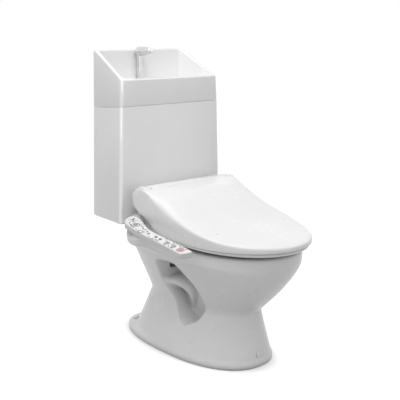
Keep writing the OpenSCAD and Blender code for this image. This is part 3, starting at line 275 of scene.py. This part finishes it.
# A copy of a modelled form with its flat parts run together and its sharp edges rounded.
def edgedForm(name, nodeName, width, segments=3, degrees=30, flat=0.6):
    piece = addObject(name, cadNodes[nodeName].data.copy())
    openMesh(piece)
    bpy.ops.mesh.remove_doubles(threshold=modelling["edgedWeld"])
    bpy.ops.mesh.select_all(action="SELECT")
    bpy.ops.mesh.dissolve_limited(angle_limit=math.radians(flat))
    bpy.ops.mesh.select_all(action="SELECT")
    bpy.ops.mesh.normals_make_consistent(inside=False)
    closeMesh()
    roundEdges(piece, width, segments, degrees)
    smoothShade(piece, modelling["edgedShade"])
    print("piece", name, len(piece.data.polygons), "faces")
    return piece


# China.
china = {
    "pan": {"voxel": 0.0036, "passes": 5},
    "cistern": {"edge": 0.0040},
    "basin": {"edge": 0.0022},
    "spout": {"voxel": 0.0008, "passes": 3},
}
# The rim stays wide at the back, as a lip over the rear column.
rimLip = {
    # The y of each step, with the half width as cast and as shown.
    "steps": ((-0.20, 0.176, 0.176), (-0.15, 0.174, 0.1755), (-0.105, 0.170, 0.176), (-0.06, 0.166, 0.1765),
              (-0.03, 0.161, 0.177), (0.0, 0.153, 0.177), (0.03, 0.1465, 0.1745), (0.06, 0.138, 0.162),
              (0.09, 0.122, 0.140), (0.12, 0.103, 0.115), (0.15, 0.078, 0.084), (0.17, 0.060, 0.060)),
    "rise": (0.322, 0.340), "outer": (0.72, 0.97),
    "drop": 0.007, "dropStart": (-0.06, 0.02), "dropEnd": 0.17, "dropFade": 0.05,
}


def eased(value, low, high):
    t = min(1.0, max(0.0, (value - low) / (high - low)))
    return t * t * (3 - 2 * t)


def widenRim(point):
    steps = rimLip["steps"]
    step = max(k for k in range(len(steps) - 1) if steps[k][0] <= point.y)
    t = (point.y - steps[step][0]) / (steps[step + 1][0] - steps[step][0])
    cast, shown = (steps[step][k] * (1 - t) + steps[step + 1][k] * t for k in (1, 2))
    share = eased(point.z, *rimLip["rise"]) * eased(abs(point.x) / cast, *rimLip["outer"])
    drop = rimLip["drop"] * eased(point.y, *rimLip["dropStart"])
    drop *= eased(rimLip["dropEnd"] - point.y, 0.0, rimLip["dropFade"])
    point.x *= 1 + (shown / cast - 1) * share
    point.z -= drop * share


chinaPan = castForm("chinaPan", "bowl_pan", **china["pan"])
for vertex in chinaPan.data.vertices:
    if vertex.co.z > rimLip["rise"][0] and rimLip["steps"][0][0] < vertex.co.y < rimLip["steps"][-1][0]:
        widenRim(vertex.co)
setPiece(chinaPan, "china_pan", "toilet", "china", ["bowl_pan"], "china_body")
cisternShell = edgedForm("cisternShell", "cistern_tank", china["cistern"]["edge"])
setPiece(cisternShell, "china_cistern", "toilet", "china", ["cistern_tank"])
basinShell = edgedForm("basinShell", "basin_lid", china["basin"]["edge"])
setPiece(basinShell, "china_basin", "basin", "china", ["basin_lid"])

# The upright front edges get a glossier glaze in a lighter colour: the gloss is real, the lighter colour is
# a painted highlight.
paintedHighlightEdge = {"sideways": 0.2, "forward": 0.2, "tilt": 0.25, "outside": 0.17}
for shell in (cisternShell, basinShell):
    shell.data.materials.append(finishOf["china_gloss_and_painted_highlight"])
    for face in shell.data.polygons:
        facing = face.normal
        slanted = abs(facing.x) > paintedHighlightEdge["sideways"] and facing.y < -paintedHighlightEdge["forward"]
        if slanted and abs(facing.z) < paintedHighlightEdge["tilt"] and abs(face.center.x) > paintedHighlightEdge["outside"]:
            face.material_index = 1

# The spout's head is a little wider and taller than the solid's.
spoutHead = {"tall": 0.024, "middle": (-0.018, 0.165), "growth": (1.15, 1.0, 1.2)}
spoutForm = castForm("spoutForm", "hand_spout", **china["spout"])
headFoot = max(vertex.co.z for vertex in spoutForm.data.vertices) - spoutHead["tall"]
for vertex in spoutForm.data.vertices:
    vertex.select = vertex.co.z > headFoot
makeActive(spoutForm)
bpy.ops.object.mode_set(mode="EDIT")
bpy.context.tool_settings.mesh_select_mode = (True, False, False)
bpy.ops.transform.resize(value=spoutHead["growth"], center_override=(*spoutHead["middle"], headFoot))
closeMesh()
setPiece(spoutForm, "chrome_spout", "basin", "chrome", ["hand_spout"], "satin_metal")
print("stage: china made")

# Seat unit, in millimetres.
# The lid's crease, ridge and hem are tables of y and z, which run as smooth curves.
lidForm = {
    "front": -516.0, "back": 8.0, "middle": -267.0, "half": 189.5, "frontPower": 2.1, "backPower": 24.0,
    "centre": -230.0, "wall": 3.6, "columns": 90, "rows": 24, "innerShare": 0.05, "outerShare": 0.92,
    "crownPowers": (3, 0.6),
    "crease": ((-516, 404), (-480, 407), (-430, 410), (-380, 415), (-330, 424), (-251, 440), (-183, 458),
               (-127, 482), (-89, 507), (-50, 521), (8, 498)),
    "ridge": ((-516, 405), (-480, 411), (-422, 417), (-376, 423), (-338, 429), (-303, 438), (-251, 459),
              (-204, 483), (-171, 501), (-140, 517), (-110, 522), (-50, 524), (-8, 515), (8, 500)),
    "hem": ((-516, 391), (-200, 391), (-131, 402), (-73, 433), (-21, 458), (8, 473)),
    # The lower edge is rounded: each hemTurn point is so far outside the outline and so far above the hem.
    "hemFlat": 0.8, "hemTurn": ((-1.0, 0), (-0.3, 0.4), (0, 1.4)), "hemCorner": 5, "hemInside": 0.6,
    # The upper edge is rounded: each topTurn point is at a share of the outline, so far below the top.
    "topTurn": ((1, 6.5), (0.9985, 3.6), (0.995, 1.9), (0.988, 0.7)),
}
lid = {
    "hinge": (-38.0, 498.0), "clear": 39.2, "clearCorners": 160, "pinRadius": 5.06, "pinEnd": 186.0,
    "ear": 177.5, "earOuter": 187.0, "earReach": 24.0, "earDrop": 2, "earRadius": 13,
    "pads": ((66, -440, 413.5), (138, -330, 428)), "padRadius": 8, "padCorners": 48,
    "slotBehind": 50, "slotBelow": 10, "slotDeep": 100, "slotTall": 140,
    "cover": (159.2, 185.5), "strip": 514.0, "shade": 38,
    "stripSide": ((32, 0), (31.5, 3.5), (26, 8.5), (20, 10.5), (-4, 10.5), (-18, 5), (-24, 0)),
}
stripEdge = {"width": 0.0009, "segments": 2, "degrees": 12}


# The height at a y, on a smooth curve through the table's points.
def curveAt(table, place):
    place = min(max(place, table[0][0]), table[-1][0])
    step = max(k for k in range(len(table) - 1) if table[k][0] <= place)

    def slope(k):
        low, high = max(k - 1, 0), min(k + 1, len(table) - 1)
        return (table[high][1] - table[low][1]) / (table[high][0] - table[low][0])

    (x0, y0), (x1, y1) = table[step], table[step + 1]
    span, t = x1 - x0, (place - x0) / (x1 - x0)
    return (y0 * (1 + 2 * t) * (1 - t) ** 2 + slope(step) * span * t * (1 - t) ** 2
            + y1 * t * t * (3 - 2 * t) + slope(step + 1) * span * t * t * (t - 1))


def halfWidth(y, grow=0.0):
    middle, half = lidForm["middle"], lidForm["half"] + grow
    if y < middle:
        power, end = lidForm["frontPower"], lidForm["front"] - grow
    else:
        power, end = lidForm["backPower"], lidForm["back"] + grow
    reach = min(1.0, (y - middle) / (end - middle))
    return half * max(0.0, 1 - reach ** power) ** (1 / power)


def outline(grow=0.0):
    count = lidForm["columns"]
    front, back = lidForm["front"] - grow, lidForm["back"] + grow
    points = []
    for k in range(2 * count):
        way, t = (1, k / count) if k <= count else (-1, 2 - k / count)
        y = front + (back - front) * (1 - math.cos(math.pi * t)) / 2
        points.append((way * halfWidth(y, grow), y))
    return points


def lidHeight(x, y, edge):
    across, crown = lidForm["crownPowers"]
    q = min(1.0, abs(x) / max(1.0, edge))
    low = curveAt(lidForm["crease"], y)
    high = max(low, curveAt(lidForm["ridge"], y))
    return low + (high - low) * (1 - q ** across) ** crown


def lidRing(share, grow, down):
    points = []
    for px, py in outline(grow):
        x, y = px * share, lidForm["centre"] + (py - lidForm["centre"]) * share
        points.append((x / 1000, y / 1000, (lidHeight(x, y, halfWidth(y, grow)) - down) / 1000))
    return points


def hemRing(grow, up):
    return [(x / 1000, y / 1000, (curveAt(lidForm["hem"], y) + up) / 1000) for x, y in outline(grow)]


# A closed skin over rings of equal length.
def ringForm(name, rings):
    count, last = len(rings[0]), len(rings) - 1
    faces = []
    for i in range(last):
        near, far = i * count, (i + 1) * count
        faces += [(near + j, near + (j + 1) % count, far + (j + 1) % count, far + j) for j in range(count)]
    faces += [tuple(reversed(range(count))), tuple(last * count + j for j in range(count))]
    mesh = bpy.data.meshes.new(name)
    mesh.from_pydata([point for ring in rings for point in ring], [], faces)
    form = addObject(name, mesh)
    openMesh(form)
    bpy.ops.mesh.normals_make_consistent(inside=False)
    closeMesh()
    return form


# A bar along x with a side outline of (y, z) points and rounded edges.
def sideBar(name, x0, x1, profile):
    bar = ringForm(name, [[(x, y / 1000, z / 1000) for y, z in profile] for x in (x0 / 1000, x1 / 1000)])
    roundEdges(bar, **stripEdge)
    return bar


def roundBar(name, x0, x1, y, z, radius, corners=96):
    bar = addPrimitive(bpy.ops.mesh.primitive_cylinder_add, vertices=corners, radius=radius / 1000,
                       depth=(x1 - x0) / 1000, location=((x0 + x1) / 2000, y / 1000, z / 1000),
                       rotation=(0, math.pi / 2, 0))
    bar.name = name
    applyPlace(bar)
    return bar


def cutAway(piece, cutter):
    applyModifier(piece, "BOOLEAN", object=cutter, operation="DIFFERENCE", solver="EXACT", use_self=True)
    bpy.data.objects.remove(cutter)


def lidShell():
    wall, rows = lidForm["wall"], lidForm["rows"]
    shares = [lidForm["innerShare"] + lidForm["outerShare"] * k / rows for k in range(rows + 1)]
    under = [lidRing(share, -wall, wall) for share in shares]
    under.append(lidRing(1, -wall, wall + lidForm["hemCorner"]))
    hem = [hemRing(-wall, lidForm["hemInside"]), hemRing(-wall + lidForm["hemFlat"], 0)]
    hem += [hemRing(grow, up) for grow, up in lidForm["hemTurn"]]
    edge = [lidRing(share, 0, down) for share, down in lidForm["topTurn"]]
    top = [lidRing(share, 0, 0) for share in reversed(shares)]
    return ringForm("lidShell", under + hem + edge + top)


hingeY, hingeZ = lid["hinge"]
lidParts = [lidShell()]
bufferTop = max(vertex.co.z for vertex in cadNodes["lid_buffers"].data.vertices)
for way in (-1, 1):
    x0, x1 = sorted((way * lid["ear"], way * lid["earOuter"]))
    rear = roundBar("lidEar", x0, x1, hingeY, hingeZ, lid["earRadius"])
    fore = roundBar("lidEarFront", x0, x1, hingeY - lid["earReach"], hingeZ - lid["earDrop"],
                    lid["earRadius"])
    ear = joinForms([rear, fore])
    openMesh(ear)
    bpy.ops.mesh.convex_hull()
    closeMesh()
    lidParts.append(ear)
    # A boss from each buffer up into the lid.
    for x, y, top in lid["pads"]:
        boss = addPrimitive(bpy.ops.mesh.primitive_cylinder_add, vertices=lid["padCorners"],
                            radius=lid["padRadius"] / 1000, depth=top / 1000 - bufferTop,
                            location=(way * x / 1000, y / 1000, (top / 1000 + bufferTop) / 2))
        applyPlace(boss)
        lidParts.append(boss)
moulded = joinForms(lidParts)
# Room for the hinge and the strip between the ears, and the bore for the pins.
cutAway(moulded, roundBar("slotRound", -lid["ear"], lid["ear"], hingeY, hingeZ, lid["clear"],
                          lid["clearCorners"]))
slotBox = addPrimitive(bpy.ops.mesh.primitive_cube_add, size=1,
                       location=(0, (hingeY + lid["slotBehind"]) / 1000, (hingeZ - lid["slotBelow"]) / 1000),
                       scale=(2 * lid["ear"] / 1000, lid["slotDeep"] / 1000, lid["slotTall"] / 1000))
applyPlace(slotBox)
cutAway(moulded, slotBox)
cutAway(moulded, roundBar("pinBore", -lid["pinEnd"], lid["pinEnd"], hingeY, hingeZ, lid["pinRadius"]))
# The covers carry the strip's shape on to the lid's sides.
coverSide = [(hingeY - p, lid["strip"] + q) for p, q in lid["stripSide"]]
covers = [sideBar("hingeCover", *sorted(way * x for x in lid["cover"]), coverSide) for way in (-1, 1)]
moulded = joinForms([moulded] + covers)
smoothShade(moulded, lid["shade"])
setPiece(moulded, "moulded_lid", "lid", "gloss_plastic", ["toilet_lid"])
print("piece moulded_lid", len(moulded.data.polygons), "faces")

seatForms = {
    "toilet_seat": {"name": "moulded_seat", "voxel": 0.0026, "passes": 5},
    "seat_body": {"name": "moulded_unit", "voxel": 0.0022, "passes": 2},
    "panel_housing": {"name": "moulded_panel", "voxel": 0.0014, "passes": 4, "finish": "panel_shell"},
    "panel_face": {"name": "printed_face", "voxel": 0.0008, "passes": 2},
}
for nodeName, values in seatForms.items():
    form = castForm(values["name"], nodeName, values["voxel"], values["passes"])
    setPiece(form, values["name"], bodyOf[nodeName], slotOf[nodeName], [nodeName], values.get("finish"))
topStrip = edgedForm("topStrip", "top_strip", **stripEdge, flat=0.1)
setPiece(topStrip, "moulded_strip", "toilet", "gloss_plastic", ["top_strip"])

# The lamp is a small flattened ball at the strip's front edge, in metres.
stripLamp = {"at": (0.146, -0.0655, 0.5197), "radius": 0.0019, "segments": 24, "rings": 12, "flat": 0.5,
             "shade": 60}
lampBall = addPrimitive(bpy.ops.mesh.primitive_uv_sphere_add, segments=stripLamp["segments"],
                        ring_count=stripLamp["rings"], radius=stripLamp["radius"], location=stripLamp["at"])
openMesh(lampBall)
bpy.ops.transform.resize(value=(1, 1, stripLamp["flat"]))
closeMesh()
applyPlace(lampBall)
smoothShade(lampBall, stripLamp["shade"])
setPiece(lampBall, "strip_lamp", "toilet", "lens")
print("stage: seat unit made")

# Control panel, in millimetres on the panel's own face: u to the right, v to the rear, w up.
panel = {
    "at": (-0.196, -0.024, 0.438), "pitch": 6.3, "roll": -6.8,
    "up": 1.4, "deep": 6.0, "print": 0.14, "bold": 1.9, "signSunk": 0.42, "markShade": 40,
    "cap": {"corners": 72, "edge": 0.00045, "edgeSteps": 4, "dishRings": 5, "dishInset": 0.16,
            "dishDepth": 0.00011, "dishEase": 0.000018, "shade": 30,
            "topFacing": 0.9, "flatFacing": 0.999, "fewCorners": 8},
    "ring": {"around": 56, "across": 8}, "dash": {"edge": 0.00005, "edgeSteps": 2},
    "dot": {"edge": 0.00004, "edgeSteps": 1},
}
buttons = {
    "heat_button": {"at": (-45, -66), "wide": 14},
    "temperature_button": {"at": (-58, -142), "wide": 9},
    "pressure_down_button": {"at": (-57, -176), "wide": 9},
    "pressure_up_button": {"at": (-59, -197), "wide": 9},
    "front_wash_button": {"at": (-61, -230), "wide": 14},
    "rear_wash_button": {"at": (-63, -260), "wide": 14},
    "stop_button": {"at": (-65, -291), "wide": 17},
}
panelPlace = (Matrix.Translation(panel["at"]) @ Matrix.Rotation(math.radians(panel["roll"]), 4, "Y")
              @ Matrix.Rotation(math.radians(panel["pitch"]), 4, "X"))


def settle(piece, u, v, w, turn=0.0):
    piece.matrix_world = (panelPlace @ Matrix.Translation((u / 1000, v / 1000, w / 1000))
                          @ Matrix.Rotation(math.radians(turn), 4, "Z"))
    applyPlace(piece)
    return piece


# A raised cap with a soft edge and a shallow dish for the finger.
def buttonCap(u, v, wide):
    shape = panel["cap"]
    cap = addPrimitive(bpy.ops.mesh.primitive_cylinder_add, vertices=shape["corners"], radius=wide / 2000,
                       depth=(panel["up"] + panel["deep"]) / 1000,
                       location=(0, 0, (panel["up"] - panel["deep"]) / 2000))
    bpy.ops.object.transform_apply(location=True)
    bpy.ops.object.mode_set(mode="EDIT")
    bpy.ops.mesh.select_all(action="DESELECT")
    closeMesh()
    for face in cap.data.polygons:
        face.select = face.normal.z > shape["topFacing"]
    bpy.ops.object.mode_set(mode="EDIT")
    bpy.ops.mesh.bevel(offset=shape["edge"], segments=shape["edgeSteps"], affect="EDGES")
    closeMesh()
    # The top is the one level face with many corners.
    for face in cap.data.polygons:
        level = face.normal.z > shape["flatFacing"]
        face.select = level and len(face.vertices) > shape["fewCorners"]
    bpy.ops.object.mode_set(mode="EDIT")
    for step in range(shape["dishRings"]):
        bpy.ops.mesh.inset(thickness=wide / 2000 * shape["dishInset"])
        bpy.ops.transform.translate(value=(0, 0, -shape["dishDepth"] + step * shape["dishEase"]))
    closeMesh()
    settle(cap, u, v, 0)
    smoothShade(cap, shape["shade"])
    return cap


def ringMark(u, v, w, radius, width, stretch=1.0, turn=0.0):
    width *= panel["bold"]
    ring = addPrimitive(bpy.ops.mesh.primitive_torus_add, major_radius=radius / 1000,
                        minor_radius=width / 2000, major_segments=panel["ring"]["around"],
                        minor_segments=panel["ring"]["across"])
    openMesh(ring)
    bpy.ops.transform.resize(value=(1, stretch, panel["print"] * 2 / width))
    closeMesh()
    return settle(ring, u, v, w, turn)


def dashMark(u, v, w, length, width, turn=0.0):
    dash = addPrimitive(bpy.ops.mesh.primitive_cube_add, size=1)
    openMesh(dash)
    bpy.ops.transform.resize(value=(width * panel["bold"] / 1000, length / 1000, panel["print"] * 2 / 1000))
    bpy.ops.mesh.bevel(offset=panel["dash"]["edge"], segments=panel["dash"]["edgeSteps"], affect="EDGES")
    closeMesh()
    return settle(dash, u, v, w, turn)


def dotMark(u, v, w, across, corners, turn):
    dot = addPrimitive(bpy.ops.mesh.primitive_cylinder_add, vertices=corners, radius=across / 2000,
                       depth=panel["print"] * 2 / 1000)
    openMesh(dot)
    bpy.ops.mesh.bevel(offset=panel["dot"]["edge"], segments=panel["dot"]["edgeSteps"], affect="EDGES")
    closeMesh()
    return settle(dot, u, v, w, turn)


drawMark = {"ring": ringMark, "dash": dashMark, "dot": dotMark}


# Each mark gives its kind, its place from (u, v) and its sizes: a ring's radius, width, stretch and turn,
# a dash's length, width and turn, or a dot's width, corners and turn.
def printMarks(marks, u=0, v=0, w=0.0):
    sign = joinForms([drawMark[kind](u + du, v + dv, w, *sizes) for kind, du, dv, *sizes in marks])
    smoothShade(sign, panel["markShade"])
    return sign


for nodeName, values in buttons.items():
    cap = buttonCap(*values["at"], values["wide"])
    setPiece(cap, nodeName.replace("button", "cap"), bodyOf[nodeName], slotOf[nodeName], [nodeName])

# Plain signs on the caps: a lamp ring, arrows, sprays and a stop square.
capSigns = {
    "heat_button": (("ring", 0, 0, 3.4, 0.7), ("dot", 0, 0, 2.6, 24, 0)),
    "temperature_button": (("dot", 0, 0, 4.2, 3, 30), ("dash", 0, -2.9, 0.7, 3.6)),
    "pressure_down_button": (("dot", 0, 0, 5.4, 3, 30),),
    "pressure_up_button": (("dot", 0, 0, 5.4, 3, 90),),
    "front_wash_button": (("ring", 0, 1.8, 2.2, 0.8, 0.8), ("dash", -1.8, -2.4, 3.2, 0.8, 20),
                          ("dash", 0, -2.8, 3.4, 0.8), ("dash", 1.8, -2.4, 3.2, 0.8, -20)),
    "rear_wash_button": (("ring", 0, 1.6, 2.6, 0.8, 0.7), ("dash", -1.2, -2.8, 3.2, 0.8, 12),
                         ("dash", 1.2, -2.8, 3.2, 0.8, -12)),
    "stop_button": (("dash", 0, 0, 4.6, 4.6), ("ring", 0, 0, 5.6, 0.8)),
}
signFinish = {"stop_button": "print_red"}
for nodeName, marks in capSigns.items():
    sign = printMarks(marks, *buttons[nodeName]["at"], panel["up"] - panel["signSunk"])
    setPiece(sign, nodeName.replace("button", "sign"), bodyOf[nodeName], slotOf[nodeName], (),
             signFinish.get(nodeName, "print_grey"))

# Plain marks printed on the face beside the buttons.
greyMarks = (
    ("dash", -19, -24, 5, 4.2, 10), ("dash", -30, -20, 10, 1.2, 62), ("dash", -31, -31, 7, 1.0, 62),
    ("dash", -38, -38, 9, 0.9, 40), ("ring", -45, -66, 11.5, 0.9, 1.15), ("dash", -47, -40, 12, 1.2, -40),
    ("dash", -55, -54, 13, 1.3, -22), ("dash", -59, -70, 14, 1.3, -8), ("dash", -62, -90, 8, 1.2, -10),
    ("dash", -34, -62, 8, 0.9, 30), ("dash", -38, -88, 11, 1.3, 16), ("dash", -44, -100, 12, 1.5, -30),
    ("ring", -24, -56, 9.5, 0.8, 2.2, 14), ("dash", -33, -78, 9, 1.0, 24), ("dash", -67, -226, 9, 1.2, 30),
    ("dash", -56, -246, 9, 1.2, 24), ("dash", -71, -248, 7, 1.2, -20), ("dash", -46, -112, 10, 1.5, 20),
    ("dash", -50, -127, 12, 1.4, -24), ("ring", -64, -113, 6.2, 1.1, 1.5), ("dash", -58, -124, 7, 1.1, 12),
    ("dash", -70, -160, 9, 0.9, 4), ("dash", -72, -178, 11, 1.5, 6), ("dash", -68, -188, 8, 1.5, -20),
    ("dash", -71, -199, 10, 1.4, 8), ("dash", -52, -214, 9, 0.8, 4), ("dash", -73, -232, 10, 1.2, 4),
    ("dash", -73, -262, 12, 1.4, 4), ("dash", -52, -276, 8, 1.0, 10), ("dash", -46.5, -212, 7, 0.8, 4),
    ("dash", -48.5, -246, 8, 0.8, 2), ("dash", -51, -278, 8, 0.8, 6), ("dash", -42.5, -205, 8, 0.9, 4),
    ("dash", -43.5, -220, 8, 0.9, 4), ("dash", -45, -238, 10, 1.1, 2), ("dash", -46, -254, 10, 1.1, 2),
    ("dash", -47.5, -270, 10, 1.1, 6), ("dash", -49.5, -286, 9, 1.1, 8), ("dash", -52, -302, 8, 1.1, 10),
)
redMarks = (("ring", -65, -291, 11.2, 1.1),)
setPiece(printMarks(greyMarks), "printed_marks", "toilet", "panel_plastic", (), "print_grey")
setPiece(printMarks(redMarks), "printed_ring", "toilet", "panel_plastic", (), "print_red")
print("stage: control panel made")

# Floor, light and camera.
studio = {
    "floorSize": 30.0, "floorColour": 0.46, "worldLight": 0.44, "white": (1, 1, 1, 1),
    # The floor glows less in an oval round the foot, a painted shadow, and its brightness fades up over the
    # edge of the oval.
    "shadowOvalHalf": (0.15, 0.289), "shadowOvalMiddle": -0.093, "fade": (1.0, 1.18), "brightness": (0.48, 0.85),
    "lampAim": (0, -0.15, 0.45),
    "lamps": [
        {"name": "topBox", "at": (-0.7, -0.45, 2.9), "size": (2.4, 2.0), "power": 40, "mirrored": True},
        {"name": "leftBox", "at": (-2.4, -1.4, 1.6), "size": (1.0, 1.8), "power": 7.6, "mirrored": True},
        {"name": "rightBox", "at": (1.7, -1.6, 1.2), "size": (0.9, 1.8), "power": 3.4, "mirrored": False},
    ],
    "cameraAt": (-1.6457, -1.9425, 0.9943), "cameraAim": (-0.0679, -0.1840, 0.4921),
    "lens": 72.4, "sensor": 36, "clipEnd": 60,
}


# 1 for rays that show the background to the camera, straight, mirrored or through glass.
def backdropRay(tree):
    path = addNode(tree, "ShaderNodeLightPath")
    first = addNode(tree, "ShaderNodeMath", operation="MAXIMUM")
    tree.links.new(path.outputs["Is Camera Ray"], first.inputs[0])
    tree.links.new(path.outputs["Is Glossy Ray"], first.inputs[1])
    second = addNode(tree, "ShaderNodeMath", operation="MAXIMUM")
    tree.links.new(first.outputs[0], second.inputs[0])
    tree.links.new(path.outputs["Is Transmission Ray"], second.inputs[1])
    return second.outputs[0]


def makeWorld():
    world = bpy.data.worlds.new("studioWorld")
    bpy.context.scene.world = world
    world.use_nodes = True
    tree = world.node_tree
    tree.nodes.clear()
    lit = addNode(tree, "ShaderNodeBackground", {"Color": studio["white"], "Strength": studio["worldLight"]})
    seen = addNode(tree, "ShaderNodeBackground", {"Color": studio["white"], "Strength": 1.0})
    mix = addNode(tree, "ShaderNodeMixShader")
    out = addNode(tree, "ShaderNodeOutputWorld")
    tree.links.new(backdropRay(tree), mix.inputs["Fac"])
    tree.links.new(lit.outputs[0], mix.inputs[1])
    tree.links.new(seen.outputs[0], mix.inputs[2])
    tree.links.new(mix.outputs[0], out.inputs["Surface"])


def makeFloorFinish():
    material = bpy.data.materials.new("floorFinish")
    material.use_nodes = True
    tree = material.node_tree
    tree.nodes.clear()
    halfX, halfY = studio["shadowOvalHalf"]
    matte = addNode(tree, "ShaderNodeBsdfDiffuse", {"Color": (studio["floorColour"],) * 3 + (1,)})
    glow = addNode(tree, "ShaderNodeEmission", {"Color": studio["white"]})
    place = addNode(tree, "ShaderNodeTexCoord")
    shift = addNode(tree, "ShaderNodeVectorMath", {1: (1 / halfX, 1 / halfY, 0),
                                                   2: (0, -studio["shadowOvalMiddle"] / halfY, 0)},
                    operation="MULTIPLY_ADD")
    reach = addNode(tree, "ShaderNodeVectorMath", operation="LENGTH")
    tree.links.new(place.outputs["Object"], shift.inputs[0])
    tree.links.new(shift.outputs["Vector"], reach.inputs[0])
    seen = addNode(tree, "ShaderNodeMath", operation="MULTIPLY")
    # Painted shadow: less glow inside the oval round the foot.
    faded = addRange(tree, reach.outputs["Value"], studio["fade"], studio["brightness"])
    tree.links.new(faded, seen.inputs[0])
    tree.links.new(backdropRay(tree), seen.inputs[1])
    tree.links.new(seen.outputs[0], glow.inputs["Strength"])
    both = addNode(tree, "ShaderNodeAddShader")
    out = addNode(tree, "ShaderNodeOutputMaterial")
    tree.links.new(matte.outputs[0], both.inputs[0])
    tree.links.new(glow.outputs[0], both.inputs[1])
    tree.links.new(both.outputs[0], out.inputs["Surface"])
    return material


def makeLamp(name, at, size, power, mirrored):
    data = bpy.data.lights.new(name, "AREA")
    data.shape = "RECTANGLE"
    data.size, data.size_y = size
    data.energy = power
    lamp = addObject(name, data)
    lamp.location = at
    lamp.visible_glossy = mirrored
    lamp.rotation_euler = (Vector(studio["lampAim"]) - Vector(at)).to_track_quat("-Z", "Y").to_euler()


def makeCamera():
    data = bpy.data.cameras.new("photoCamera")
    data.lens = studio["lens"]
    data.sensor_width = studio["sensor"]
    data.sensor_fit = "HORIZONTAL"
    data.clip_end = studio["clipEnd"]
    camera = addObject("photoCamera", data)
    camera.location = studio["cameraAt"]
    sight = Vector(studio["cameraAim"]) - camera.location
    camera.rotation_euler = sight.to_track_quat("-Z", "Y").to_euler()
    bpy.context.scene.camera = camera


makeWorld()
floor = addPrimitive(bpy.ops.mesh.primitive_plane_add, size=studio["floorSize"], location=(0, 0, 0))
floor.name = "studio_floor"
floor.data.materials.append(makeFloorFinish())
for values in studio["lamps"]:
    makeLamp(**values)
makeCamera()
bpy.context.scene.view_settings.view_transform = "Standard"
print("stage: studio set")
